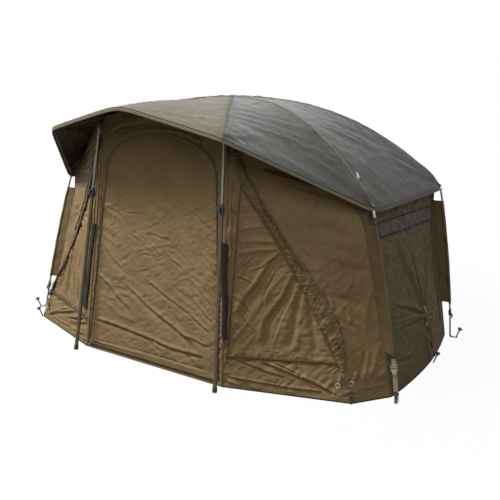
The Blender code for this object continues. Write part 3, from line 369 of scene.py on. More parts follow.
@dataclass(frozen=True)
class Wrinkles:
    """Slight creases all over a wall, longer one way than the other."""

    height: float
    long: float
    short: float
    angle: float = 0.0
    seed: int = 1

    def lift(self, x: Array, y: Array) -> Array:
        """Height of the creases over each place of the wall.

        Args:
            x: the wall's first measure at each place, in metres.
            y: its second measure there.

        Returns:
            The heights, in metres.
        """
        turn = math.radians(self.angle)
        bend = 0.35 * noise(x / (2.0 * self.long) + 7.3, y / (2.0 * self.long), self.seed + 50)
        along = (x * math.cos(turn) + y * math.sin(turn)) / self.long
        across = (y * math.cos(turn) - x * math.sin(turn)) / self.short + bend * self.long / self.short
        hills = 1.0 - 2.0 * np.abs(noise(along, across, self.seed))
        patches = 0.5 + 0.5 * noise(x / (3.0 * self.short) + 3.1, y / (3.0 * self.short), self.seed + 9)
        return FOLD_DEPTH * self.height * hills * patches


Relief = Fold | Gather | Wrinkles


def relief_of(items: Iterable[Relief], flat: Array) -> Array:
    """The sum of all folds over each flat place of a wall."""
    return sum((item.lift(flat[..., 0], flat[..., 1]) for item in items), np.zeros(flat.shape[:-1]))


def normals_of(points: Array, closed: bool = False) -> Array:
    """Unit normals of a grid of points, on the side that its faces turn to.

    Args:
        points: rows and columns of points.
        closed: whether the last column meets the first.

    Returns:
        A normal for each point.
    """
    across = np.roll(points, -1, axis=1) - np.roll(points, 1, axis=1) if closed else np.gradient(points, axis=1)
    return unit(np.cross(across, np.gradient(points, axis=0)))


@dataclass(frozen=True)
class TentLines:
    """The lines that the tent is cut to, as its CAD source gives them, on the right-hand side."""

    front_edge: float = -0.9976
    crown_back: float = 0.929
    crown_height: float = 1.405
    peak_height: float = 1.378
    peak_rod: float = 0.28
    sag: float = 0.008
    cloth: float = 0.003
    rib_radius: float = 0.0045
    notch: float = 0.028
    corner_peg: tuple[float, float] = (1.115, 0.355)
    door_lean: float = 0.1205
    door_foot_back: float = 0.152

    def place(self, out: float, back: float, up: float) -> Array:
        """A point from its distance out, back from the front of the peak, and up."""
        return np.array((out, back + self.front_edge, up))

    @property
    def crown(self) -> Array:
        """The middle of the roof."""
        return self.place(0.0, self.crown_back, self.crown_height)

    def tip(self, name: str) -> tuple[Array, float]:
        """A rib's end at the eave, and the power with which it bends down."""
        out, back, up, power = TIPS[name]
        return self.place(out, back, up), power

    def rib(self, name: str, share: Array | float, side: Side = Side.RIGHT) -> Array:
        """Places on a rib's seam, by share of its length in plan.

        Args:
            name: the rib's name in TIPS.
            share: from 0 at the crown to 1 at its end.
            side: the side of the tent.

        Returns:
            One place, or a row for each share.
        """
        tip, power = self.tip(name)
        share = np.asarray(share, float)
        points = lerp(self.crown, tip, share)
        points[..., 2] = self.crown_height - (self.crown_height - tip[2]) * share ** power
        return mirrored(points, side)

    def rib_axis(self, name: str, share: Array | float, side: Side = Side.RIGHT) -> Array:
        """Places on the rod under a rib's seam."""
        return self.rib(name, share, side) - UP * (self.cloth + 2.0 * (self.rib_radius + 0.0003))

    def reach(self, name: str) -> float:
        """A rib's length in plan."""
        return float(np.linalg.norm((self.rib(name, 1.0) - self.crown)[:2]))

    def ridge(self, share: Array | float) -> Array:
        """The middle line of the peak, which sags behind the rod that lifts it.

        Args:
            share: from 0 at the crown to 1 at the front.

        Returns:
            One place, or a row for each share.
        """
        share = np.asarray(share, float)
        end = self.place(0.0, 0.0, self.peak_height)
        points = lerp(self.crown, end, share)
        points[..., 2] = self.crown_height - (self.crown_height - end[2]) * share ** 4.5
        free = 1.0 - self.peak_rod / self.crown_back
        points[..., 2] -= self.sag * np.sin(np.pi * np.minimum(share / free, 1.0)) ** 2
        return points

    def gore(self, ribs: tuple[Rib, Rib], along: Array, across: Array) -> Array:
        """Places on the outside of one cut piece of the roof.

        Args:
            ribs: the two ribs that it spans.
            along: shares from the crown to the eave.
            across: shares from the first rib to the second.

        Returns:
            Points of the same shape as the shares.
        """
        first, second = (self.rib(name, along, side) for name, side in ribs)
        points = lerp(first, second, across)
        if ribs[0][0] == ribs[1][0] == "brim":
            full = math.hypot(1.0, 0.1)
            lift = (full - np.hypot(2.0 * across - 1.0, 0.1)) / (full - 0.1)
            points = points + (self.ridge(along) - lerp(first, second, 0.5)) * lift[..., None]
        else:
            points[..., 2] -= self.sag * 27.0 * across * (1.0 - across) * along ** 2 * (1.0 - along)
        return points

    def under(self, points: Array) -> Array:
        """The same places in plan, at the height of the roof's underside.

        Args:
            points: places whose heights don't matter.

        Returns:
            The places under the roof.
        """
        flat = np.atleast_2d(points)
        result = flat.copy()
        for index, point in enumerate(flat):
            offset = point[:2] - self.crown[:2]
            for ribs in GORES:
                one, two = (self.rib(name, 1.0, side)[:2] - self.crown[:2] for name, side in ribs)
                spread = one[0] * two[1] - one[1] * two[0]
                near = (offset[0] * two[1] - offset[1] * two[0]) / spread
                far = (one[0] * offset[1] - one[1] * offset[0]) / spread
                if near >= -1e-9 and far >= -1e-9 and near + far > 1e-9:
                    along = near + far
                    found = self.gore(ribs, np.array([along]), np.array([far / along]))[0]
                    result[index, 2] = found[2] - self.cloth - 0.0008
                    break
        return result.reshape(np.shape(points))

    def door_wall(self, x: Array | float, up: Array | float) -> Array:
        """Places on the outside of the front wall, which leans back as it rises."""
        x, up = np.broadcast_arrays(np.asarray(x, float), np.asarray(up, float))
        return np.stack((x, self.door_foot_back + self.front_edge + self.door_lean * up, up), axis=-1)

    def door_seam(self, up: Array | float) -> Array:
        """Half width of the front wall, where it meets the wings behind the poles."""
        return 0.487 - 0.048 * np.asarray(up, float)

    def front_head(self, x: float) -> float:
        """The top of the front wall under the roof.

        Args:
            x: distance from the tent's middle plane.

        Returns:
            The height.
        """
        height = self.peak_height
        for _ in range(4):
            height = float(self.under(self.door_wall(x, height))[2])
        return height

    @property
    def notch_head(self) -> float:
        """Height at which the front wall and a wing end behind the pole's head."""
        return self.front_head(float(self.door_seam(self.crown_height))) - self.notch

    @property
    def door_out(self) -> Array:
        """The direction outwards from the front wall."""
        return unit(np.array((0.0, -1.0, self.door_lean)))

    def bar_ends(self, corner: Corner) -> tuple[Array, Array]:
        """A corner bar's line, from its strap's end on the ground to its top under the rib's end."""
        foot = self.place(1.277, 0.513, 0.0) if corner is Corner.FRONT else self.place(1.185, 1.508, 0.0)
        return foot, self.rib_axis(corner.value, 1.0 - 0.015 / self.reach(corner.value)) - UP * 0.003

    def on_bar(self, corner: Corner, height: Array | float) -> Array:
        """Places on a corner bar by height: it bows outwards.

        Args:
            corner: the bar's corner.
            height: height over the ground.

        Returns:
            One place, or a row for each height.
        """
        foot, top = self.bar_ends(corner)
        share = np.asarray(height, float) / top[2]
        return lerp(foot, top, share) + OUT * (0.016 * 4.0 * share * (1.0 - share))[..., None]

    def outward(self, corner: Corner) -> Array:
        """The level direction in which a corner's strap is pegged."""
        turn = math.radians(19.0)
        return np.array((math.sin(turn), -math.cos(turn), 0.0)) if corner is Corner.FRONT else OUT

    def corner_seam(self, corner: Corner, height: Array | float) -> Array:
        """The sewn edge between two walls, inboard of the corner bar.

        Args:
            corner: the seam's corner.
            height: height over the ground.

        Returns:
            One place, or a row for each height.
        """
        if corner is Corner.FRONT:
            foot = self.bar_ends(corner)[0] - OUT * 0.035 + BACK * 0.022
            head = self.on_bar(corner, SEAM_TOP) - OUT * 0.066
        else:
            foot, head = self.place(1.15, 1.505, 0.0), self.on_bar(corner, SEAM_TOP) - OUT * 0.058
        return lerp(foot, head, np.asarray(height, float) / SEAM_TOP)

    def window_seam(self, share: Array | float) -> Array:
        """The slanting seam of the window, from its head to its lower corner.

        Args:
            share: from 0 at its start to 1 at its end.

        Returns:
            One place, or a row for each share.
        """
        share = np.asarray(share, float)
        line = lerp(self.place(0.506, 0.306, 1.03), self.place(1.04, 0.374, 0.185), share)
        return line + BACK * (0.05 * np.sin(np.pi * share))[..., None]

    def window_zip(self, share: Array | float) -> Array:
        """The upright zip of the window, from its head down to its foot.

        Args:
            share: from 0 at its start to 1 at its end.

        Returns:
            One place, or a row for each share.
        """
        head = self.window_seam(0.0)
        slope = (head[1] - self.door_wall(0.0, head[2])[1]) / (head[0] - float(self.door_seam(head[2])))
        foot = self.door_wall(0.506, 0.16)
        foot[1] += (0.506 - float(self.door_seam(0.16))) * slope
        return lerp(head, foot, share)

    def side_head(self, shares: Array) -> Array:
        """The side wall's upper edge, by share from front to rear.

        Args:
            shares: shares of its length.

        Returns:
            A row for each share.
        """
        front, rear = self.rib("front", EAVE), self.rib("rear", EAVE)
        ends = [self.corner_seam(corner, SEAM_TOP) for corner in Corner]
        level = self.under(lerp(front, rear, np.clip(shares, 0.1, 0.9)))
        start = lerp(ends[0], level[:1], np.clip(shares / 0.1, 0.0, 1.0))
        close = lerp(level[-1:], ends[1], np.clip((shares - 0.9) / 0.1, 0.0, 1.0))
        return np.where((shares < 0.1)[:, None], start, np.where((shares > 0.9)[:, None], close, level))

    def side_wall(self, shares: Array, ups: Array) -> Array:
        """Places on the side wall's outside, in rows that rise from the hem to the eave.

        Args:
            shares: shares of its length from front to rear.
            ups: shares of its height.

        Returns:
            A grid of places, one row for each height.
        """
        hem = lerp(self.corner_seam(Corner.FRONT, 0.0), self.corner_seam(Corner.REAR, 0.0), shares)
        hem[:, 0] += 0.04 * 4.0 * shares * (1.0 - shares)
        points = lerp(hem[None], self.side_head(shares)[None], ups[:, None])
        pull = np.exp(-((shares[None] - GUY_SHARE) / 0.18) ** 2 - ((ups[:, None] - 0.25) / 0.22) ** 2)
        points[..., 0] += 0.006 * pull
        points[..., 1] += 0.0035 * (1.0 - shares[None])
        return points

    def pole_ends(self) -> tuple[Array, Array]:
        """A front pole's end on the ground and its top under the rib."""
        head = self.rib_axis("brim", 0.745) - UP * (self.rib_radius + 0.0015)
        return self.place(0.501, 0.081, 0.0), head


RING: tuple[Rib, ...] = (("brim", Side.LEFT), *((name, Side.RIGHT) for name in ("brim", "front", "rear", "back")),
                         *((name, Side.LEFT) for name in ("back", "rear", "front")))
GORES = tuple(zip(RING, RING[1:] + RING[:1]))
LINES = TentLines()


# Finishes ------------------------------------------------------------------------------------------------------


def to_linear(code: str) -> tuple[float, float, float, float]:
    """An sRGB hex colour as the linear one that shaders take."""
    parts = [int(code[index:index + 2], 16) / 255.0 for index in (1, 3, 5)]
    return (*(part / 12.92 if part <= 0.04045 else ((part + 0.055) / 1.055) ** 2.4 for part in parts), 1.0)


def add_node(tree: bpy.types.NodeTree, kind: str, settings: dict | None = None,
             links: dict | None = None) -> bpy.types.Node:
    """Adds a node to a material.

    Args:
        tree: the material's node tree.
        kind: the node's type.
        settings: values of its properties and sockets, by name or by socket number.
        links: the sockets that feed its inputs, by name or number.

    Returns:
        The new node.
    """
    node = tree.nodes.new(kind)
    for key, value in (settings or {}).items():
        if isinstance(key, str) and hasattr(node, key):
            setattr(node, key, value)
        else:
            node.inputs[key].default_value = value
    for key, source in (links or {}).items():
        tree.links.new(source, node.inputs[key])
    return node


BAND_PITCH = 0.1 * math.pi  # metres between a wave texture's bands at a scale of 1


@dataclass(frozen=True)
class Finish:
    """The finish of a small part: a pattern of a real pitch, places that are rubbed or dirty, and its gloss."""

    name: str
    colour: str
    second: str
    roughness: float = 0.7
    metallic: float = 0.0
    uv: bool = True
    pattern: Pattern = Pattern.RIBS
    pitch_mm: float = 2.0
    stretch: tuple[float, float, float] = (1.0, 1.0, 1.0)
    turn: float = 0.0
    stray: float = 1.0
    bump: tuple[float, float] = (0.5, 0.8)
    wear_mm: float = 20.0
    wear: float = 0.14

    def shader(self) -> tuple[bpy.types.Material, bpy.types.NodeTree, bpy.types.Node, bpy.types.NodeSocket]:
        """A new material, its nodes, its shader, and its coordinates in metres.

        Returns:
            The four of them, for a method that adds the rest of the nodes.
        """
        material = bpy.data.materials.new(self.name)
        material.use_nodes = True
        tree = material.node_tree
        shader = tree.nodes["Principled BSDF"]
        shader.inputs["Roughness"].default_value = self.roughness
        shader.inputs["Metallic"].default_value = self.metallic
        where = add_node(tree, "ShaderNodeTexCoord")
        return material, tree, shader, where.outputs["UV" if self.uv else "Object"]

    def mixed(self, tree: bpy.types.NodeTree, factor: bpy.types.NodeSocket, first: str | bpy.types.NodeSocket,
              second: str) -> bpy.types.NodeSocket:
        """A colour between two others, by a pattern.

        Args:
            tree: the material's nodes.
            factor: the pattern.
            first: the colour where the pattern is 0.
            second: the colour where it is 1.

        Returns:
            The mixed colour's socket.
        """
        node = add_node(tree, "ShaderNodeMix", {"data_type": "RGBA"}, {0: factor})
        if isinstance(first, str):
            node.inputs[6].default_value = to_linear(first)
        else:
            tree.links.new(first, node.inputs[6])
        node.inputs[7].default_value = to_linear(second)
        return node.outputs[2]

    def build(self) -> bpy.types.Material:
        """The material. Ribs and grain are drawn up to three times coarser than the real ones, so that they show.

        Returns:
            The material.
        """
        material, tree, shader, where = self.shader()
        mapped = add_node(tree, "ShaderNodeMapping", {"Scale": self.stretch, "Rotation": (0.0, 0.0, self.turn)},
                          {"Vector": where})
        pitch = self.pitch_mm / 1000.0
        worn = add_node(tree, "ShaderNodeTexNoise", {"Scale": 1000.0 / self.wear_mm, "Detail": 5.0,
                                                     "Roughness": 0.65}, {"Vector": where})
        rubbed = add_node(tree, "ShaderNodeMapRange", {1: 0.36, 2: 0.74}, {0: worn.outputs["Fac"]})
        if self.pattern is Pattern.RIBS:
            marks = add_node(tree, "ShaderNodeTexWave", {"bands_direction": "X", "Distortion": self.stray,
                                                         "Detail": 2.0, "Scale": BAND_PITCH / pitch},
                             {"Vector": mapped.outputs[0]})
        else:
            marks = add_node(tree, "ShaderNodeTexNoise", {"Scale": 1.0 / pitch, "Detail": 2.0},
                             {"Vector": mapped.outputs[0]})
        share = marks.outputs["Fac"] if self.pattern is Pattern.RIBS else rubbed.outputs[0]
        tone = add_node(tree, "ShaderNodeMapRange", {3: 1.0 - self.wear, 4: 1.0 + self.wear},
                        {0: worn.outputs["Fac"]})
        shade = add_node(tree, "ShaderNodeVectorMath", {"operation": "SCALE"}, {
            0: self.mixed(tree, share, self.colour, self.second), 3: tone.outputs[0]})
        tree.links.new(shade.outputs[0], shader.inputs["Base Color"])
        rough = add_node(tree, "ShaderNodeMapRange", {3: self.roughness - 0.09, 4: self.roughness + 0.13},
                         {0: worn.outputs["Fac"]})
        tree.links.new(rough.outputs[0], shader.inputs["Roughness"])
        raised = add_node(tree, "ShaderNodeBump", {"Strength": self.bump[0], "Distance": self.bump[1] / 1000.0},
                          {"Height": marks.outputs["Fac"]})
        tree.links.new(raised.outputs["Normal"], shader.inputs["Normal"])
        return material


@dataclass(frozen=True)
class WovenCloth(Finish):
    """Plain-woven coated polyester: matt threads that cross, soft blotches of tone, creases and a faint sheen."""

    pitch_mm: float = 2.4
    weave: float = 0.1
    sheen: float = 0.1
    sheen_tint: str = "#b9b6a8"
    blotch_mm: float = 180.0
    dust: str = "#a5966f"
    dust_share: float = 0.1
    gloss: float = 0.2
    crease: float = 0.42
    # A paler colour mixed in with height between these two heights: a painted sheen for the sky's reflection on the
    # upper roof.
    bleached: str = ""
    bleach_heights: tuple[float, float] = (1.0, 1.4)

    def build(self) -> bpy.types.Material:
        """The material. Threads are about 0.3 mm apart in the real cloth and are drawn coarser, so that they show.

        Returns:
            The material.
        """
        material, tree, shader, where = self.shader()
        waves = [add_node(tree, "ShaderNodeTexWave", {
            "wave_type": "BANDS", "bands_direction": direction, "Scale": 1000.0 * BAND_PITCH / self.pitch_mm,
            "Distortion": 0.6, "Detail": 1.0, "Detail Scale": 2.0}, {"Vector": where}) for direction in "XY"]
        weave = add_node(tree, "ShaderNodeMath", {"operation": "MAXIMUM"}, {
            0: waves[0].outputs["Fac"], 1: waves[1].outputs["Fac"]})
        blotch = add_node(tree, "ShaderNodeTexNoise", {"Scale": 1000.0 / self.blotch_mm, "Detail": 5.0,
                                                       "Roughness": 0.62}, {"Vector": where})
        spread = add_node(tree, "ShaderNodeMapRange", {1: 0.34, 2: 0.66}, {0: blotch.outputs["Fac"]})
        base = self.mixed(tree, spread.outputs[0], self.colour, self.second)
        # Painted sheen: the colour turns paler with height, for the sky's reflection on the upper roof.
        if self.bleached:
            place = add_node(tree, "ShaderNodeTexCoord")
            height = add_node(tree, "ShaderNodeSeparateXYZ", {}, {0: place.outputs["Object"]})
            strayed = add_node(tree, "ShaderNodeMath", {"operation": "MULTIPLY_ADD", 1: 0.16}, {
                0: blotch.outputs["Fac"], 2: height.outputs["Z"]})
            high = add_node(tree, "ShaderNodeMapRange", {1: self.bleach_heights[0] + 0.08,
                                                         2: self.bleach_heights[1] + 0.08}, {0: strayed.outputs[0]})
            base = self.mixed(tree, high.outputs[0], base, self.bleached)
        fine = add_node(tree, "ShaderNodeTexNoise", {"Scale": 200.0, "Detail": 3.0}, {"Vector": where})
        speck = add_node(tree, "ShaderNodeMapRange", {1: 0.55, 2: 0.85, 4: self.dust_share},
                         {0: fine.outputs["Fac"]})
        dusty = self.mixed(tree, speck.outputs[0], base, self.dust)
        shade = add_node(tree, "ShaderNodeMapRange", {3: 0.9, 4: 1.04}, {0: weave.outputs[0]})
        tone = add_node(tree, "ShaderNodeVectorMath", {"operation": "SCALE"}, {0: dusty, 3: shade.outputs[0]})
        tree.links.new(tone.outputs[0], shader.inputs["Base Color"])
        rough = add_node(tree, "ShaderNodeMapRange", {3: self.roughness - 0.06, 4: self.roughness + 0.08},
                         {0: blotch.outputs["Fac"]})
        tree.links.new(rough.outputs[0], shader.inputs["Roughness"])
        raised = add_node(tree, "ShaderNodeBump", {"Strength": self.weave, "Distance": 0.0006},
                          {"Height": weave.outputs[0]})
        crumple = add_node(tree, "ShaderNodeTexNoise", {"noise_type": "RIDGED_MULTIFRACTAL", "Scale": 21.0,
                                                        "Detail": 3.0, "Roughness": 0.5, "Distortion": 0.5},
                           {"Vector": where})
        surface = add_node(tree, "ShaderNodeBump", {"Strength": self.crease, "Distance": 0.0042},
                           {"Height": crumple.outputs["Fac"], "Normal": raised.outputs["Normal"]})
        tree.links.new(surface.outputs["Normal"], shader.inputs["Normal"])
        for socket, value in (("Specular IOR Level", self.gloss), ("Sheen Weight", self.sheen),
                              ("Sheen Roughness", 0.45), ("Sheen Tint", to_linear(self.sheen_tint))):
            shader.inputs[socket].default_value = value
        return material


@dataclass(frozen=True)
class HardFinish(Finish):
    """Metal or moulded plastic: a fine grain in the piece's own measures."""

    uv: bool = False
    pattern: Pattern = Pattern.GRAIN
    pitch_mm: float = 1.2
    bump: tuple[float, float] = (0.2, 0.3)


@dataclass(frozen=True)
class DrawnFinish(HardFinish):
    """Drawn tube or rod: its grain runs along the length, dulled where hands and soil have rubbed it."""

    stretch: tuple[float, float, float] = (1.0, 1.0, 0.02)
    bump: tuple[float, float] = (0.15, 0.3)
    wear_mm: float = 45.0


@dataclass(frozen=True)
class StudioFloor(Finish):
    """Matt card that looks white to the camera, takes the tent's shadow, and throws back little light, as turf does."""

    uv: bool = False
    turf: str = "#55554f"

    def build(self) -> bpy.types.Material:
        """The material: dark for the light that it throws back, and white for the camera where no shadow lies.

        Returns:
            The material.
        """
        material, tree, shader, where = self.shader()
        fleck = add_node(tree, "ShaderNodeTexNoise", {"Scale": 3.0, "Detail": 2.0}, {"Vector": where})
        seen = add_node(tree, "ShaderNodeLightPath")
        pale = self.mixed(tree, fleck.outputs["Fac"], self.colour, self.second)
        card = add_node(tree, "ShaderNodeBsdfDiffuse", {}, {
            "Color": self.mixed(tree, seen.outputs["Is Diffuse Ray"], pale, self.turf)})
        white = add_node(tree, "ShaderNodeEmission", {"Color": (1.0, 1.0, 1.0, 1.0), "Strength": 1.0})
        far = add_node(tree, "ShaderNodeVectorMath", {"operation": "LENGTH"}, {0: where})
        paper = add_node(tree, "ShaderNodeMapRange", {
            "interpolation_type": "SMOOTHSTEP", 1: 1.2, 2: 3.4, 3: 0.95, 4: 1.0}, {0: far.outputs["Value"]})
        share = add_node(tree, "ShaderNodeMath", {"operation": "MULTIPLY"},
                         {0: seen.outputs["Is Camera Ray"], 1: paper.outputs[0]})
        both = add_node(tree, "ShaderNodeMixShader", {}, {0: share.outputs[0], 1: card.outputs[0],
                                                          2: white.outputs[0]})
        tree.links.new(both.outputs[0], tree.nodes["Material Output"].inputs["Surface"])
        tree.nodes.remove(shader)
        return material


# Making tools --------------------------------------------------------------------------------------------------


@dataclass(frozen=True)
class Make:
    """What a piece is finished with, the record's slot of that, the body it moves with, and its side."""

    finish: Finish
    slot: str = "fittings"
    body: str = ROOT
    side: Side = Side.RIGHT
    inner: tuple[Finish, ...] = ()

    def materials(self) -> list[bpy.types.Material]:
        """Its materials; each is made once, when a piece first asks for it.

        Returns:
            The outer finish's material, and then those of the inner ones.
        """
        found = []
        for finish in (self.finish, *self.inner):
            made = bpy.data.materials.get(finish.name)
            found.append(made if made is not None else finish.build())
        return found


def finish_mesh(name: str, work: bmesh.types.BMesh, make: Make, smooth: float = 45.0) -> Piece:
    """Makes a mesh object of a finished bmesh and lets it ride on its body.

    Args:
        name: the piece's name.
        work: its mesh, with its faces outwards.
        make: its finish, slot and body.
        smooth: the angle in degrees above which an edge stays sharp.

    Returns:
        The new object.
    """
    mesh = bpy.data.meshes.new(name)
    work.to_mesh(mesh)
    work.free()
    for material in make.materials():
        mesh.materials.append(material)
    mesh.shade_smooth()
    mesh.set_sharp_from_angle(angle=math.radians(smooth))
    item = bpy.data.objects.new(name, mesh)
    bpy.context.scene.collection.objects.link(item)
    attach(item, make.body)
    return item


def thickened(item: Piece, thickness: float, inner: bool = False) -> Piece:
    """Gives a sheet its thickness, with its own finish inside where inner is set.

    Args:
        item: the sheet.
        thickness: in metres.
        inner: whether the piece has a finish of its own inside.

    Returns:
        The same object.
    """
    wall = item.modifiers.new("cloth", "SOLIDIFY")
    wall.thickness, wall.offset, wall.use_even_offset = thickness, -1.0, False
    wall.material_offset = 1 if inner else 0
    return item


def grid_of(work: bmesh.types.BMesh, points: Array, uv: Array, closed: bool, flip: bool,
            kinds: Array | None = None) -> None:
    """Adds a grid of faces with the given places and flat measures.

    Args:
        work: the mesh to add to.
        points: rows and columns of places.
        uv: flat measures of the same places, in metres.
        closed: whether the last column is joined to the first.
        flip: whether the faces turn to the other side.
        kinds: material index of each column of faces.
    """
    rows, columns = points.shape[:2]
    wide = columns + 1 if closed else columns
    made = bmesh.ops.create_grid(work, x_segments=wide - 1, y_segments=rows - 1, size=1.0)["verts"]
    order = {vertex: (round((vertex.co.y + 1.0) / 2.0 * (rows - 1)), round((vertex.co.x + 1.0) / 2.0 * (wide - 1)))
             for vertex in made}
    if closed:
        uv = np.concatenate([uv, 2.0 * uv[:, -1:] - uv[:, -2:-1]], axis=1)
    flat = uv.tolist()
    layer = work.loops.layers.uv.verify()
    faces = {face for vertex in made for face in vertex.link_faces}
    for face in faces:
        first = columns
        for loop in face.loops:
            row, column = order[loop.vert]
            loop[layer].uv = flat[row][column]
            first = min(first, column)
        if kinds is not None:
            face.material_index = int(kinds[first])
    places = points.tolist()
    for vertex, (row, column) in order.items():
        vertex.co = places[row][column % columns]
    if closed:
        start = {row: vertex for vertex, (row, column) in order.items() if column == 0}
        bmesh.ops.weld_verts(work, targetmap={vertex: start[row] for vertex, (row, column) in order.items()
                                              if column == columns})
    if flip:
        bmesh.ops.reverse_faces(work, faces=[face for face in faces if face.is_valid])


def closed_mesh(name: str, points: Array, uv: Array, make: Make, smooth: float = 45.0) -> Piece:
    """A tube of rings with both ends closed.

    Args:
        name: the piece's name.
        points: rows of rings.
        uv: flat measures of the same places.
        make: its finish, slot, body and side.
        smooth: the angle in degrees above which an edge stays sharp.

    Returns:
        The new object.
    """
    work = bmesh.new()
    grid_of(work, mirrored(points, make.side), uv, True, False)
    bmesh.ops.remove_doubles(work, verts=work.verts, dist=1e-7)
    bmesh.ops.holes_fill(work, edges=[edge for edge in work.edges if edge.is_boundary], sides=0)
    bmesh.ops.recalc_face_normals(work, faces=work.faces)
    return finish_mesh(name, work, make, smooth)


@dataclass
class Panel:
    """One cut panel of cloth: a grid of places, its folds and its thickness, drawn on the right-hand side."""

    name: str
    places: Array
    flat: Array
    towards: Array
    relief: tuple[Relief, ...] = ()
    edge_relief: tuple[Relief, ...] = ()
    fade: float = 0.03
    closed: bool = False
    raised: Array = field(init=False)
    turned: bool = field(init=False)

    def __post_init__(self) -> None:
        """Works out where the folded cloth lies."""
        normals = normals_of(self.places, self.closed)
        self.turned = float((normals * self.towards).sum(axis=-1).mean()) < 0.0
        if self.turned:
            normals = -normals
        height = relief_of(self.relief, self.flat) * self.edge_mask() + relief_of(self.edge_relief, self.flat)
        self.raised = self.places + normals * height[..., None]

    def edge_mask(self) -> Array:
        """A factor that is 0 at the panel's edges and 1 beyond the fade's width.

        Returns:
            The factors, in the grid's rows and columns.
        """
        if self.fade <= 0.0:
            return np.ones(self.places.shape[:2])
        gaps = []
        for axis in range(1 if self.closed else 2):
            steps = np.linalg.norm(np.diff(self.places, axis=axis), axis=2)
            start = np.zeros_like(np.take(steps, [0], axis=axis))
            far = np.concatenate([start, np.cumsum(steps, axis=axis)], axis=axis)
            gaps.append(np.minimum(far, np.take(far, [-1], axis=axis) - far))
        return smooth_step(np.minimum.reduce(gaps), 0.0, self.fade)

    def cut(self) -> tuple[float, float, float]:
        """Width, length and area of the flat cut; a ring is measured as the strip that it unrolls to.

        Returns:
            The three measures, in metres and square metres.
        """
        grid = np.concatenate([self.places, self.places[:, :1]], axis=1) if self.closed else self.places
        one = np.cross(grid[1:, :-1] - grid[:-1, :-1], grid[:-1, 1:] - grid[:-1, :-1])
        two = np.cross(grid[1:, :-1] - grid[1:, 1:], grid[:-1, 1:] - grid[1:, 1:])
        area = float((np.linalg.norm(one, axis=2) + np.linalg.norm(two, axis=2)).sum() / 2.0)
        across = np.linalg.norm(np.diff(grid, axis=1), axis=2).sum(axis=1)
        length = float(np.linalg.norm(np.diff(grid, axis=0), axis=2).sum(axis=0).max())
        if self.closed:
            return float(across.mean()), area / float(across.mean()), area
        width = min(float(across.max()), area / (0.5 * length))
        return width, max(length, area / width), area

    def build(self, make: Make, kinds: Array | None = None, thickness: float = 0.0009) -> Piece:
        """Sews the panel on one side of the tent.

        Args:
            make: its outer and inner finish, slot, body and side; a left-hand panel is the mirror image.
            kinds: material index of each column of faces.
            thickness: the cloth's.

        Returns:
            The panel's object.
        """
        work = bmesh.new()
        grid_of(work, mirrored(self.raised, make.side), self.flat, self.closed,
                self.turned != (make.side is Side.LEFT), kinds)
        return thickened(finish_mesh(self.name, work, make, 75.0), thickness, True)

    @property
    def grid(self) -> tuple[Array, bool]:
        """Where the folded cloth lies, and whether it is a ring."""
        return self.raised, self.closed

    def declare(self, item: Piece, held: str, rests_on: Sequence[str], with_pieces: Sequence[Piece] = ()) -> None:
        """Logs the panel's object as a sheet of cloth, with how large it was cut.

        Args:
            item: the panel's object.
            held: how it hangs; not used.
            rests_on: the nodes or pieces that carry it; not used.
            with_pieces: the pieces sewn to it; not used.
        """
        width, length, area = self.cut()
        LOG.info("sheet %s: %.3f x %.3f m, %.3f m2", item.name, width, length, area)


@dataclass
class Skin:
    """Finds places on finished panels, so that tapes and tabs lie on the folded cloth."""

    grids: tuple[tuple[Array, bool], ...]
    axis: int
    from_low: bool
    tree: BVHTree = field(init=False)

    def __post_init__(self) -> None:
        """Gathers the panels' faces."""
        points, faces = [], []
        for grid, closed in self.grids:
            rows, columns = grid.shape[:2]
            base = len(points)
            points.extend(grid.reshape(-1, 3).tolist())
            last = columns if closed else columns - 1
            for row in range(rows - 1):
                for column in range(last):
                    near, far = base + row * columns + column, base + row * columns + (column + 1) % columns
                    faces.append((near, far, far + columns, near + columns))
        self.tree = BVHTree.FromPolygons(points, faces)

    def at(self, flat: Array) -> Array:
        """Places on the cloth for pairs of the two measures other than the axis that is looked along.

        Args:
            flat: pairs of measures, in metres.

        Returns:
            The places, in the same rows and columns.
        """
        pairs = np.asarray(flat, float).reshape(-1, 2)
        others = [index for index in range(3) if index != self.axis]
        result = np.full((len(pairs), 3), np.nan)
        result[:, others] = pairs
        ray = Vector([float(index == self.axis) for index in range(3)]) * (1.0 if self.from_low else -1.0)
        for index, pair in enumerate(pairs):
            start = ray * -4.0
            start[others[0]], start[others[1]] = pair
            hit = self.tree.ray_cast(start, ray)[0]
            if hit is not None:
                result[index, self.axis] = hit[self.axis]
        missed = np.isnan(result[:, self.axis])
        known = np.where(~missed)[0]
        for index in np.where(missed)[0]:
            closest = known[np.hypot(*(pairs[known] - pairs[index]).T).argmin()]
            result[index, self.axis] = result[closest, self.axis]
        return result.reshape(*np.shape(flat)[:-1], 3)


@dataclass
class WrappedSkin:
    """Finds places on a panel that runs round a corner, by distance along its hem and by height."""

    panel: Panel

    def at(self, flat: Array) -> Array:
        """Places on the cloth for pairs of a distance along the hem and a height.

        Args:
            flat: pairs of measures, in metres.

        Returns:
            The places, in the same rows and columns.
        """
        along, grid = self.panel.flat[0, :, 0], self.panel.raised
        result = []
        for distance, height in np.asarray(flat, float).reshape(-1, 2):
            column = float(np.interp(distance, along, np.arange(len(along))))
            near = min(int(column), len(along) - 2)
            line = lerp(grid[:, near], grid[:, near + 1], column - near)
            result.append([np.interp(height, line[:, 2], line[:, part]) for part in range(2)] + [height])
        return np.array(result).reshape(*np.shape(flat)[:-1], 3)


def between(left: Flat, right: Flat, columns: int, rows: int) -> Array:
    """A grid of flat places between two lines that run the same way.

    Args:
        left: points of the one line.
        right: points of the other line.
        columns: places from one line to the other.
        rows: places along the lines.

    Returns:
        Rows and columns of flat places.
    """
    near, far = (line_through(line)(evenly(rows)) for line in (left, right))
    return lerp(near[:, None], far[:, None], evenly(columns)[None])


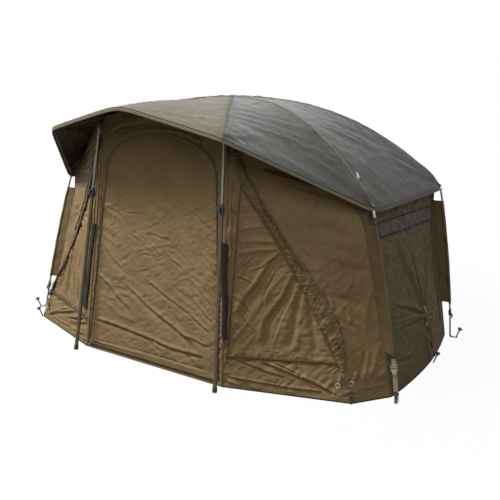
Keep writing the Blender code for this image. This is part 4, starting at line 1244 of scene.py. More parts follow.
@dataclass
class Wall:
    """What every wall has: its side, the way it faces, its folded skin, and the strips that are laid on it."""

    side: Side = Side.RIGHT
    suffix: str = ""
    slot: str = "wall_cloth"
    towards: Array = field(default_factory=lambda: -BACK)
    skin: Skin | WrappedSkin = field(init=False)

    def lay(self, name: str, left: Flat, right: Flat, lift: float, finish: Finish, size: tuple[int, int] = (4, 100),
            thickness: float = 0.0011, crown: float = 0.0, relief: tuple[Relief, ...] = (),
            body: str = ROOT, slot: str = "") -> Piece:
        """Lays a strip of tape or cloth on the folded wall.

        Args:
            name: the piece's name, to which the wall's suffix is added.
            left: flat points of its one edge.
            right: flat points of its other edge.
            lift: its outer face's height over the cloth.
            finish: what it is made of.
            size: places across it and along it.
            thickness: its thickness.
            crown: how much higher its middle line lies.
            relief: its own folds, in flat measures.
            body: the CAD body that it moves with.
            slot: the record's slot, where it isn't the wall's own.

        Returns:
            The new object.
        """
        flat = between(left, right, *size)
        places = self.skin.at(flat)
        for _ in range(3):
            padded = np.concatenate([places[:1], places, places[-1:]])
            places = 0.25 * padded[:-2] + 0.5 * padded[1:-1] + 0.25 * padded[2:]
        normals = normals_of(places)
        flip = float((normals @ self.towards).mean()) < 0.0
        across = np.linspace(-1.0, 1.0, size[0])[None, :]
        height = lift + crown * (1.0 - across ** 2) + relief_of(relief, flat)
        places = places + normals * (-height if flip else height)[..., None]
        lengths = arc_lengths(places.mean(axis=1))
        widths = np.linalg.norm(places - places[:, :1], axis=2)
        uv = paired(lengths[:, None], widths)
        work = bmesh.new()
        grid_of(work, mirrored(places, self.side), uv, False, flip != (self.side is Side.LEFT))
        make = Make(finish, slot or self.slot, body, self.side)
        return thickened(finish_mesh(name + self.suffix, work, make, 60.0), thickness)

    def seam(self, name: str, line: Flat, lift: float, finish: Finish, width: float = 0.0014,
             body: str = ROOT) -> Piece:
        """Lays a row of stitches or a thin tape along a flat line.

        Args:
            name: the piece's name.
            line: flat points of its one edge.
            lift: its height over the cloth.
            finish: what it is made of.
            width: its width, along the second measure where the line is level, and else along the first.
            body: the CAD body that it moves with.

        Returns:
            The new object.
        """
        at = np.asarray(line, float)
        level = abs(at[-1, 0] - at[0, 0]) > abs(at[-1, 1] - at[0, 1])
        shift = np.array((0.0, width) if level else (width, 0.0))
        return self.lay(name, at, at + shift, lift, finish, (3, 130), 0.0007, body=body)

    def hem(self, word: str, line: Sequence[float], finish: Finish, body: str = ROOT, foot: float = 0.0,
            deep: float = 0.024) -> list[Piece]:
        """Lays the doubled hem along the ground, its dark turned edge and its stitches.

        Args:
            word: the first word of its pieces' names.
            line: places along the hem, in the wall's first measure.
            finish: the wall's cloth.
            body: the CAD body that it moves with.
            foot: height of the wall's lower edge.
            deep: height of the hem's upper edge over that.

        Returns:
            The three pieces.
        """
        rows = (("hem", 0.003, deep, 0.0015, finish), ("hem_edge", 0.0015, 0.006, 0.0025, DARK_CLOTH),
                ("hem_stitch", deep - 0.0035, deep - 0.0021, 0.0023, DARK_THREAD))
        return [self.lay(f"{word}_{part}", [(x, foot + low) for x in line], [(x, foot + high) for x in line], lift,
                         cloth, (4, 110), crown=0.0005, body=body) for part, low, high, lift, cloth in rows]


def tube(name: str, path: Array, across: Array, out: Array, outline: Flat, make: Make, loop: bool = False) -> Piece:
    """Carries a closed outline along a path and closes its ends.

    Args:
        name: the piece's name.
        path: points of the path.
        across: one direction, or one for each point, of the outline's first measure.
        out: the same for its second measure.
        outline: points of the outline.
        make: its finish, slot, body and side.
        loop: whether the path closes on itself.

    Returns:
        The new object.
    """
    shape = np.asarray(outline, float)
    across, out = (np.broadcast_to(way, path.shape)[:, None] for way in (across, out))
    points = path[:, None] + across * shape[None, :, :1] + out * shape[None, :, 1:]
    uv = paired(arc_lengths(path)[:, None], arc_lengths(shape)[None, :])
    if loop:
        points = np.concatenate([points, points[:1]])
        uv = np.concatenate([uv, 2.0 * uv[-1:] - uv[-2:-1]])
    return closed_mesh(name, points, uv, make)


def sweep(name: str, path: Array, outward: Array, outline: Flat, make: Make, loop: bool = False) -> Piece:
    """Carries a closed outline square along a path and closes its ends.

    Args:
        name: the piece's name.
        path: points of the path.
        outward: one direction, or one for each point, that the outline's second measure follows.
        outline: points of the outline: across the path, and outwards.
        make: its finish, slot, body and side.
        loop: whether the path closes on itself.

    Returns:
        The new object.
    """
    path = np.asarray(path, float)
    along = unit(np.roll(path, -1, axis=0) - np.roll(path, 1, axis=0) if loop else np.gradient(path, axis=0))
    out = np.broadcast_to(np.asarray(outward, float), path.shape)
    out = unit(out - along * (along * out).sum(axis=1, keepdims=True))
    return tube(name, path, np.cross(along, out), out, outline, make, loop)


def round_outline(radius: float, sides: int = 12) -> Flat:
    """Points round a circle."""
    turns = round_turns(sides)
    return [(radius * math.cos(turn), radius * math.sin(turn)) for turn in turns]


def tape_outline(width: float, thickness: float) -> Flat:
    """The section of a tape that lies on its back, with softened edges.

    Args:
        width: in metres.
        thickness: in metres.

    Returns:
        Points of the outline.
    """
    half, rim = width / 2.0, thickness / 4.0
    return [(-half, 0.0), (half, 0.0), (half, thickness - rim), (half - rim * 2.0, thickness),
            (0.0, thickness * 1.05), (-half + rim * 2.0, thickness), (-half, thickness - rim)]


def turned(name: str, start: Array, end: Array, profile: Flat, make: Make, steps: int = 32) -> Piece:
    """Spins a profile round the line from start towards end.

    Args:
        name: the piece's name.
        start: where distances are measured from.
        end: a further point of the axis.
        profile: distances along the axis and radii; it closes on the axis at both ends.
        make: its finish, slot, body and side.
        steps: faces round the axis.

    Returns:
        The new object.
    """
    origin, axis = Vector(start), (Vector(end) - Vector(start)).normalized()
    sideways = axis.orthogonal().normalized()
    work = bmesh.new()
    full = [(profile[0][0], 0.0), *profile, (profile[-1][0], 0.0)]
    corners = [work.verts.new(origin + axis * distance + sideways * radius) for distance, radius in full]
    edges = [work.edges.new(pair) for pair in zip(corners, corners[1:])]
    bmesh.ops.spin(work, geom=corners + edges, cent=origin, axis=axis, angle=FULL_TURN, steps=steps, use_merge=True)
    bmesh.ops.remove_doubles(work, verts=work.verts, dist=1e-6)
    return put_on_side(name, work, make)


def put_on_side(name: str, work: bmesh.types.BMesh, make: Make) -> Piece:
    """Mirrors a right-hand mesh where it belongs on the left, turns its faces outwards and finishes it.

    Args:
        name: the piece's name.
        work: the mesh, which is freed.
        make: its finish, slot, body and side.

    Returns:
        The new object.
    """
    if make.side is Side.LEFT:
        bmesh.ops.transform(work, matrix=Matrix.Diagonal((-1.0, 1.0, 1.0, 1.0)), verts=work.verts)
    bmesh.ops.recalc_face_normals(work, faces=work.faces)
    return finish_mesh(name, work, make, 35.0)


def block(name: str, centre: Array, axes: Sequence[Array], size: Sequence[float], make: Make,
          rounding: float = 0.0012, holes: Flat = ()) -> Piece:
    """A moulded block with rounded edges, pierced through its third axis where holes are given.

    Args:
        name: the piece's name.
        centre: its middle.
        axes: its three directions.
        size: its three sizes.
        make: its finish, slot, body and side.
        rounding: width of its bevelled edges.
        holes: for each opening its lowest and highest place on the first axis, then on the second.

    Returns:
        The new object.
    """
    work = bmesh.new()
    xs = sorted({-0.5 * size[0], 0.5 * size[0], *(edge for hole in holes for edge in hole[:2])})
    ys = sorted({-0.5 * size[1], 0.5 * size[1], *(edge for hole in holes for edge in hole[2:])})
    for vertex in bmesh.ops.create_grid(work, x_segments=len(xs) - 1, y_segments=len(ys) - 1, size=1.0)["verts"]:
        column = round((vertex.co.x + 1.0) / 2.0 * (len(xs) - 1))
        row = round((vertex.co.y + 1.0) / 2.0 * (len(ys) - 1))
        vertex.co = Vector((xs[column], ys[row], -0.5 * size[2]))
    middles = {face: face.calc_center_median() for face in work.faces}
    bmesh.ops.delete(work, context="FACES", geom=[face for face, middle in middles.items() if any(
        hole[0] < middle.x < hole[1] and hole[2] < middle.y < hole[3] for hole in holes)])
    risen = bmesh.ops.extrude_face_region(work, geom=list(work.faces))["geom"]
    bmesh.ops.translate(work, vec=Vector((0.0, 0.0, size[2])),
                        verts=[part for part in risen if isinstance(part, bmesh.types.BMVert)])
    bmesh.ops.recalc_face_normals(work, faces=work.faces)
    sharp = [edge for edge in work.edges if edge.calc_face_angle(0.0) > 0.6]
    bmesh.ops.bevel(work, geom=sharp, offset=rounding, offset_type="OFFSET", segments=2, profile=0.5,
                    affect="EDGES", material=-1, clamp_overlap=True)
    turn = Matrix([[float(axes[column][row]) for column in range(3)] for row in range(3)]).to_4x4()
    turn.translation = Vector(centre)
    bmesh.ops.transform(work, matrix=turn, verts=work.verts)
    return put_on_side(name, work, make)


# Finishes of this tent -----------------------------------------------------------------------------------------

# Coated polyester of the roof: dark grey-green, with a bluish sheen from the coat; its paler colour towards the crown
# is a painted sheen for the sky's reflection there.
ROOF_CLOTH = WovenCloth("coated_roof_polyester", "#33322a", "#3d3b32", roughness=0.56, sheen=0.2,
                        sheen_tint="#c3cbd4", blotch_mm=240.0, dust="#7d7966", gloss=0.42, crease=0.8,
                        bleached="#737571", bleach_heights=(1.24, 1.44))
# The same cloth painted lighter in the peak: painted light, for the brighter light that the peak catches from the key
# lamp, and a painted sheen towards the crown.
LIT_PEAK_CLOTH = WovenCloth("coated_peak_polyester", "#5c5746", "#686250", roughness=0.6, sheen=0.2, blotch_mm=260.0,
                        sheen_tint="#d5d3c6", gloss=0.35, crease=0.6, bleached="#6d6c60", bleach_heights=(1.28, 1.41))
# Uncoated wall polyester: olive brown, matt, with a crumpled surface.
WALL_CLOTH = WovenCloth("wall_polyester", "#786242", "#866f4b", roughness=0.62, sheen=0.1, sheen_tint="#d8c9a4",
                        crease=0.8)
# The cloth of the sides, the back and the bar sleeves: the wall cloth painted darker, a painted shade for the walls
# that turn away from the key lamp.
SHADED_SIDE_CLOTH = WovenCloth("side_wall_polyester", "#54472f", "#605238", roughness=0.62, sheen=0.1,
                        sheen_tint="#d8c9a4", crease=0.8)
# The bar sleeves' cloth, painted darker than the wall cloth: a painted shade for the shaded sleeves.
SHADED_SLEEVE_CLOTH = WovenCloth("bar_sleeve_polyester", "#66553a", "#746244", roughness=0.64, sheen=0.08)
# The gathered casings: the wall cloth painted darker, a painted shade for the shadows in their gathers.
SHADED_CASING_CLOTH = WovenCloth("gathered_casing_polyester", "#695739", "#7a6646", roughness=0.64, sheen=0.06, crease=1.0)
# The coated inner face of the cloth, a dark coat painted nearly black: partly its own colour, partly a painted shade
# for the underside of the roof and the inside of the tent.
SHADED_LINING = WovenCloth("coated_inner_face", "#28231a", "#332c1f", roughness=0.5, weave=0.05, sheen=0.0, dust="#463e2c")
VENT_CLOTH = WovenCloth("vent_cover_cloth", "#45443c", "#555248", roughness=0.6, sheen=0.2, dust="#6f6c5e",
                        blotch_mm=60.0)
# Black cloth of the piping, the hem edges and the strips by the vents; the strip above each vent is a painted shadow.
DARK_CLOTH = WovenCloth("black_backing_cloth", "#171613", "#22201b", roughness=0.75, sheen=0.1, dust="#37342b")
ZIP_CLOTH = WovenCloth("brown_zip_tape", "#54462e", "#605138", roughness=0.7, sheen=0.05, dust="#5c503a")
# Woven polyester and polypropylene tapes: ribs across the length catch the light one by one.
BINDING_TAPE = Finish("woven_binding_tape", "#847a5e", "#9c9172", pitch_mm=2.6)
BROWN_WEBBING = Finish("woven_brown_webbing", "#64543c", "#83714f", roughness=0.72, wear_mm=6.0)
PALE_WEBBING = Finish("woven_pale_webbing", "#8b7f66", "#b3a78c", wear_mm=6.0)
BLACK_WEBBING = Finish("woven_black_webbing", "#1d1b17", "#302d26", roughness=0.68, wear_mm=6.0)
SEAM_TAPE = Finish("folded_seam_cloth", "#504f43", "#61604f", roughness=0.66, pitch_mm=3.0)
# Pale strips laid where light glints on the roof's front seams and edge: painted glints.
GLINT_STRIP_FINISH = Finish("grey_reflective_tape", "#b4b6b4", "#d0d2d0", roughness=0.35, pitch_mm=1.2, bump=(0.2, 0.3))
THREAD = Finish("bonded_sewing_thread", "#8d866c", "#a59c7e", roughness=0.6, pitch_mm=1.6, bump=(0.6, 0.6))
DARK_THREAD = Finish("dark_sewing_thread", "#2c271d", "#3a3326", roughness=0.6, pitch_mm=1.6, bump=(0.6, 0.6))
# Nylon coil zip: a row of close teeth, 1.5 mm apart in the real coil.
ZIP_COIL = Finish("nylon_coil_zip", "#231e16", "#3a3226", roughness=0.45, pitch_mm=3.0, stray=0.0, bump=(0.7, 1.2))
# Drawn tubes and rods catch the light in fine lines along their length; castings are dull and evenly grained.
UPPER_TUBE = DrawnFinish("bright_drawn_aluminium", "#7f7c75", "#66635c", roughness=0.42, metallic=0.85)
LOWER_TUBE = DrawnFinish("brown_anodised_aluminium", "#5f523d", "#4c4131", roughness=0.46, metallic=0.6)
RIB_METAL = DrawnFinish("black_glass_fibre_rod", "#201f1c", "#302e2a", roughness=0.42, stretch=(1.0, 1.0, 0.1))
BRIGHT_FITTING = HardFinish("cast_zinc_fitting", "#b9b8b2", "#8f8d86", roughness=0.34, metallic=0.9, pitch_mm=1.0)
PEG_STEEL = HardFinish("blued_steel", "#303134", "#1f2022", roughness=0.38, metallic=0.7)
# Injection-moulded nylon and acetal: a finely sparked grain and paler rubbed places.
BLACK_PLASTIC = HardFinish("black_moulded_nylon", "#141617", "#2c2e2e", roughness=0.42, pitch_mm=0.9, bump=(0.25, 0.3))
GREY_PLASTIC = HardFinish("grey_moulded_acetal", "#7c7a70", "#99968a", roughness=0.4, pitch_mm=0.9, bump=(0.25, 0.3))
# Braided polyester cord: dark strands that cross on the slant.
GUY_CORD = Finish("braided_guy_cord", "#1b1914", "#3a3427", roughness=0.75, uv=False, pitch_mm=3.0, turn=0.8,
                  stray=0.0, bump=(0.6, 0.6))
FLOOR_CARD = StudioFloor("pale_studio_card", "#e4e4e4", "#e8e8e8", roughness=0.9)


@dataclass
class Studio:
    """The camera at the photograph's place, soft lamps and the pale floor."""

    eye: tuple[float, float, float] = (2.521, -3.5056, 1.54)
    tilt_deg: float = 76.1
    turn_deg: float = 34.9
    lens_mm: float = 51.62
    sky: float = 0.16
    floor_radius: float = 14.0
    lamps: tuple[tuple[str, tuple[float, float, float], float, float], ...] = (
        ("key_lamp", (-3.9, -3.5, 6.8), 760.0, 2.0), ("fill_lamp", (3.4, -4.8, 4.6), 120.0, 3.0),
        ("top_lamp", (1.4, 1.4, 5.6), 8.0, 4.0), ("back_lamp", (-2.5, 5.5, 3.0), 60.0, 3.5))

    def build(self) -> None:
        """Sets up the view, the lamps, the sky and the floor."""
        scene = bpy.context.scene
        scene.view_settings.view_transform = "Standard"
        data = bpy.data.cameras.new("photo_view")
        data.lens, data.sensor_width = self.lens_mm, 36.0
        camera = bpy.data.objects.new("photo_view", data)
        camera.location = self.eye
        camera.rotation_euler = (math.radians(self.tilt_deg), 0.0, math.radians(self.turn_deg))
        scene.collection.objects.link(camera)
        scene.camera = camera
        for name, where, watts, size in self.lamps:
            lamp = bpy.data.lights.new(name, "AREA")
            lamp.energy, lamp.size = watts, size
            item = bpy.data.objects.new(name, lamp)
            item.location = where
            item.rotation_euler = (Vector((0.0, 0.0, 0.6)) - Vector(where)).to_track_quat("-Z", "Y").to_euler()
            scene.collection.objects.link(item)
        scene.world = self.studio_sky()
        work = bmesh.new()
        bmesh.ops.create_circle(work, cap_ends=True, segments=96, radius=self.floor_radius)
        bmesh.ops.translate(work, verts=work.verts, vec=Vector((0.0, 0.0, -0.0015)))
        mesh = bpy.data.meshes.new("floor")
        work.to_mesh(mesh)
        work.free()
        mesh.materials.append(FLOOR_CARD.build())
        floor = bpy.data.objects.new("floor", mesh)
        scene.collection.objects.link(floor)

    def studio_sky(self) -> bpy.types.World:
        """A low even sky, which is white to the camera, in reflections and through glass.

        Returns:
            The world.
        """
        world = bpy.data.worlds.new("studio_sky")
        world.use_nodes = True
        tree = world.node_tree
        plain = tree.nodes["Background"]
        plain.inputs["Color"].default_value = (1.0, 1.0, 1.0, 1.0)
        plain.inputs["Strength"].default_value = self.sky
        white = add_node(tree, "ShaderNodeBackground", {"Color": (1.0, 1.0, 1.0, 1.0), "Strength": 1.0})
        seen = add_node(tree, "ShaderNodeLightPath")
        both = add_node(tree, "ShaderNodeMath", {"operation": "MAXIMUM"}, {
            0: seen.outputs["Is Camera Ray"], 1: seen.outputs["Is Glossy Ray"]})
        every = add_node(tree, "ShaderNodeMath", {"operation": "MAXIMUM"}, {
            0: both.outputs[0], 1: seen.outputs["Is Transmission Ray"]})
        mixed = add_node(tree, "ShaderNodeMixShader", {}, {0: every.outputs[0], 1: plain.outputs[0],
                                                           2: white.outputs[0]})
        tree.links.new(mixed.outputs[0], tree.nodes["World Output"].inputs["Surface"])
        return world


@dataclass
class Canopy(Wall):
    """The roof: one continuous skin of eight cut pieces, its felled seams, its bound brim and its eave hem."""

    slot: str = "roof_cloth"
    towards: Array = field(default_factory=lambda: UP)
    rows: int = 98
    peak_columns: int = 120
    gore_columns: int = 44
    hole: float = 0.0135
    seam_width: float = 0.016
    eased_edge: Array = field(init=False)

    def build(self) -> None:
        """Makes every piece of the roof."""
        self.cloth()
        self.seams()
        self.brim()
        self.eave_hem()
        self.crown_patch()
        self.tabs()

    def cloth(self) -> None:
        """The sewn skin, painted lighter in the peak: painted light."""
        parts, kinds = [], []
        for index, ribs in enumerate(GORES):
            columns = self.peak_columns if index == 0 else self.gore_columns
            along = np.linspace(self.hole / min(LINES.reach(name) for name, _ in ribs), 1.0, self.rows)
            grid = np.broadcast_arrays(along[:, None], (np.arange(columns) / columns)[None, :])
            parts.append(LINES.gore(ribs, grid[0], grid[1]))
            kinds.extend([2 if index == 0 else 0] * columns)
        places = np.concatenate(parts, axis=1)
        edge = places[-1]
        for _ in range(14):
            edge = (np.roll(edge, 1, axis=0) + 2.0 * edge + np.roll(edge, -1, axis=0)) / 4.0
        places = places + (edge - places[-1])[None] * evenly(len(places))[:, None, None] ** 16
        self.eased_edge = places[-1]
        relief: list[Relief] = [Wrinkles(0.0024, 0.3, 0.085, 35.0, 3), Wrinkles(0.0014, 0.1, 0.03, 100.0, 8),
                                Wrinkles(0.0016, 0.2, 0.032, -20.0, 9), Wrinkles(0.001, 0.07, 0.015, 60.0, 10)]
        edges: list[Relief] = []
        for name, side in RIBS:
            tip = LINES.rib(name, 1.0, side)[:2]
            edges.append(Gather((LINES.crown[:2], tip), 0.0026, 0.026, 0.045, lean=0.6,
                                seed=ord(name[0]) + side.value))
            relief += [Fold(self.from_tip(tip, turn), 0.004, 0.016, Shape.RIDGE, 0.18, 1.5)
                       for turn in (-34.0, -20.0, -9.0, 10.0, 21.0, 36.0)]
        brim = LINES.gore(GORES[0], np.ones(9), evenly(9))[:, :2]
        edges.append(Gather(brim, 0.0026, 0.026, 0.036, seed=5))
        panel = Panel("roof_skin", places, places[..., :2].copy(), UP, tuple(relief), tuple(edges), 0.05, True)
        item = panel.build(Make(ROOF_CLOTH, self.slot, inner=(SHADED_LINING, LIT_PEAK_CLOTH, SHADED_LINING)), np.array(kinds))
        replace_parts(item, "gore_peak", "gore_back", *(f"gore_{part}_{side.label}" for part in
                                                      ("front", "side", "quarter") for side in Side))
        panel.declare(item, "stretched", [f"rib_{name}_{side.label}" for name, side in RIBS])
        self.skin = Skin((panel.grid,), 2, False)

    @staticmethod
    def from_tip(tip: Array, turn_deg: float) -> Flat:
        """A line that starts near a rib's end and runs inwards, turned from the rib's own direction.

        Args:
            tip: the rib's end in plan.
            turn_deg: degrees from the rib's direction.

        Returns:
            The line's two ends in plan.
        """
        inward, turn = unit(LINES.crown[:2] - tip), math.radians(turn_deg)
        way = np.array((inward[0] * math.cos(turn) - inward[1] * math.sin(turn),
                        inward[0] * math.sin(turn) + inward[1] * math.cos(turn)))
        return tip + inward * 0.02, tip + inward * 0.02 + way * 0.34

    def seams(self) -> None:
        """A felled seam along each rib, with two rows of stitches."""
        for name, side in RIBS:
            start, end = LINES.rib(name, np.array((0.052, 0.996)), side)[:, :2]
            way = unit(end - start)
            over = np.array((-way[1], way[0])) * self.seam_width / 2.0
            for part, low, high, lift, thickness, finish in (
                    ("seam", -1.0, 1.0, 0.0016, 0.0012, SEAM_TAPE),
                    ("stitch_near", -0.69, -0.55, 0.0023, 0.0006, THREAD),
                    ("stitch_far", 0.55, 0.69, 0.0023, 0.0006, THREAD)):
                self.lay(f"roof_{part}_{name}_{side.label}", (start + over * low, end + over * low),
                         (start + over * high, end + over * high), lift, finish, (5, 120), thickness, 0.0006)

    def edge(self, first: int, count: int, passes: int) -> tuple[Array, Array]:
        """Places along the skin's edge over some of its pieces.

        Args:
            first: the first of the cut pieces.
            count: how many pieces it runs over.
            passes: how much its corners are eased.

        Returns:
            The places, and the level direction outwards at each.
        """
        starts = np.cumsum([0, self.peak_columns] + [self.gore_columns] * 7)
        steps = sum(self.peak_columns if (first + step) % 8 == 0 else self.gore_columns for step in range(count))
        chosen = (int(starts[first]) + np.arange(steps + 1)) % int(starts[-1])
        path = line_through(self.eased_edge[chosen], softness=0.004)(evenly(3 * steps + 1))
        for _ in range(passes):
            path = np.concatenate([path[:1], (path[:-2] + 2.0 * path[1:-1] + path[2:]) / 4.0, path[-1:]])
        ahead = np.cross(np.gradient(path, axis=0), UP) * LEVEL
        outwards = (path - LINES.crown) * LEVEL
        return path, unit(ahead * np.where((ahead * outwards).sum(axis=1, keepdims=True) > 0.0, 1.0, -1.0))

    def brim(self) -> None:
        """The bound front edge: a dark piping cord along the top and a light folded tape below it."""
        path, ahead = self.edge(7, 3, 5)
        tape, dark = Make(BINDING_TAPE, "binding_tape"), Make(DARK_CLOTH, "binding_tape")
        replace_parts(tube("brim_tape", path, UP, ahead, mm(
            -15.5, -0.4, 0, -0.4, 0.8, 0.6, 0.4, 2, -4, 2.6, -11.5, 2.6, -15, 1.8), tape), "brim_binding")
        sweep("brim_piping", path + UP * 0.0016 - ahead * 0.0006, UP, round_outline(0.0028), dark)
        sweep("brim_upper_fold", path + UP * 0.001 - ahead * 0.0085, UP, tape_outline(0.0135, 0.0014),
              Make(SEAM_TAPE, "binding_tape"))
        for row, height in enumerate((-0.005, -0.013)):
            sweep(f"brim_stitch_{row}", path + ahead * 0.0029 + UP * height, ahead, tape_outline(0.0012, 0.0005),
                  Make(DARK_THREAD, "binding_tape"))

    def eave_hem(self) -> None:
        """The turned hem along the sides and back, stitched like the brim."""
        path, ahead = self.edge(2, 5, 3)
        tube("eave_hem", path, UP, ahead, mm(-15, -1.2, 0, -1.2, 1.4, 0, 0.6, 1.4, -6, 1.8, -14.5, 1.4),
             Make(ROOF_CLOTH, "binding_tape"))
        for row, height in enumerate((-0.003, -0.011)):
            sweep(f"eave_stitch_{row}", path + ahead * 0.0016 + UP * height, ahead, tape_outline(0.0012, 0.0005),
                  Make(THREAD, "roof_cloth"))

    def crown_patch(self) -> None:
        """A round reinforcing patch under the cap, stitched at its rim."""
        turns = np.linspace(0.0, FULL_TURN, 65)
        circle = np.stack((np.cos(turns), np.sin(turns)), axis=1)
        for name, inner, outer, lift, thickness, finish in (
                ("crown_patch", 0.03, 0.064, 0.0026, 0.0014, ROOF_CLOTH),
                ("crown_patch_stitch", 0.0588, 0.06, 0.0031, 0.0006, THREAD)):
            self.lay(name, LINES.crown[:2] + inner * circle, LINES.crown[:2] + outer * circle, lift, finish,
                     (6, 65), thickness)

    def tabs(self) -> None:
        """Small pale strips on the front seams and on the edge beside the peak: painted glints."""
        over = np.array((0.0048, 0.003))
        for side in Side:
            for name, ends in (("seam", mm(933, -307, 962, -340)), ("edge", mm(581, -818, 616, -810))):
                ends = ends * np.array((side.value, 1.0))
                self.lay(f"reflective_tab_{name}_{side.label}", ends - over, ends + over, 0.0032, GLINT_STRIP_FINISH,
                         (4, 12), crown=0.001)


@dataclass
class FrameRods:
    """The umbrella frame inside: eight rods in a crown block, and the rod that lifts the peak."""

    @staticmethod
    def build() -> None:
        """Dresses the crown and draws each rod."""
        for name, side in RIBS:
            reach = LINES.reach(name)
            last = {"brim": 0.985, "back": 0.94}.get(name, 1.0 - 0.015 / reach)
            rod = sweep(f"frame_rod_{name}_{side.label}", LINES.rib_axis(name, np.linspace(0.02 / reach, last, 60)),
                        UP, round_outline(LINES.rib_radius, 16), Make(RIB_METAL, "rib_metal", side=side))
            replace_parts(rod, f"rib_{name}_{side.label}")
        shares = np.linspace(1.0 - LINES.peak_rod / LINES.crown_back, 0.985, 24)
        rod = sweep("peak_lifter", LINES.ridge(shares) - UP * 0.0078, UP, round_outline(0.0038, 14),
                    Make(RIB_METAL, "rib_metal"))
        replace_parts(rod, "peak_rod")
        black = Make(BLACK_PLASTIC)
        block_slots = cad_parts["crown_block"].data.materials
        block_slots.clear()
        block_slots.append(black.materials()[0])
        seat = LINES.crown + UP * 0.0004
        profile = mm(0, 30, 1.6, 30, 2.8, 29.2, 4, 27, 4.2, 20, 5.2, 18.5, 6, 10, 6, 4)
        cap = turned("crown_button", seat, seat + UP, profile, black, 40)
        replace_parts(cap, "crown_cap")


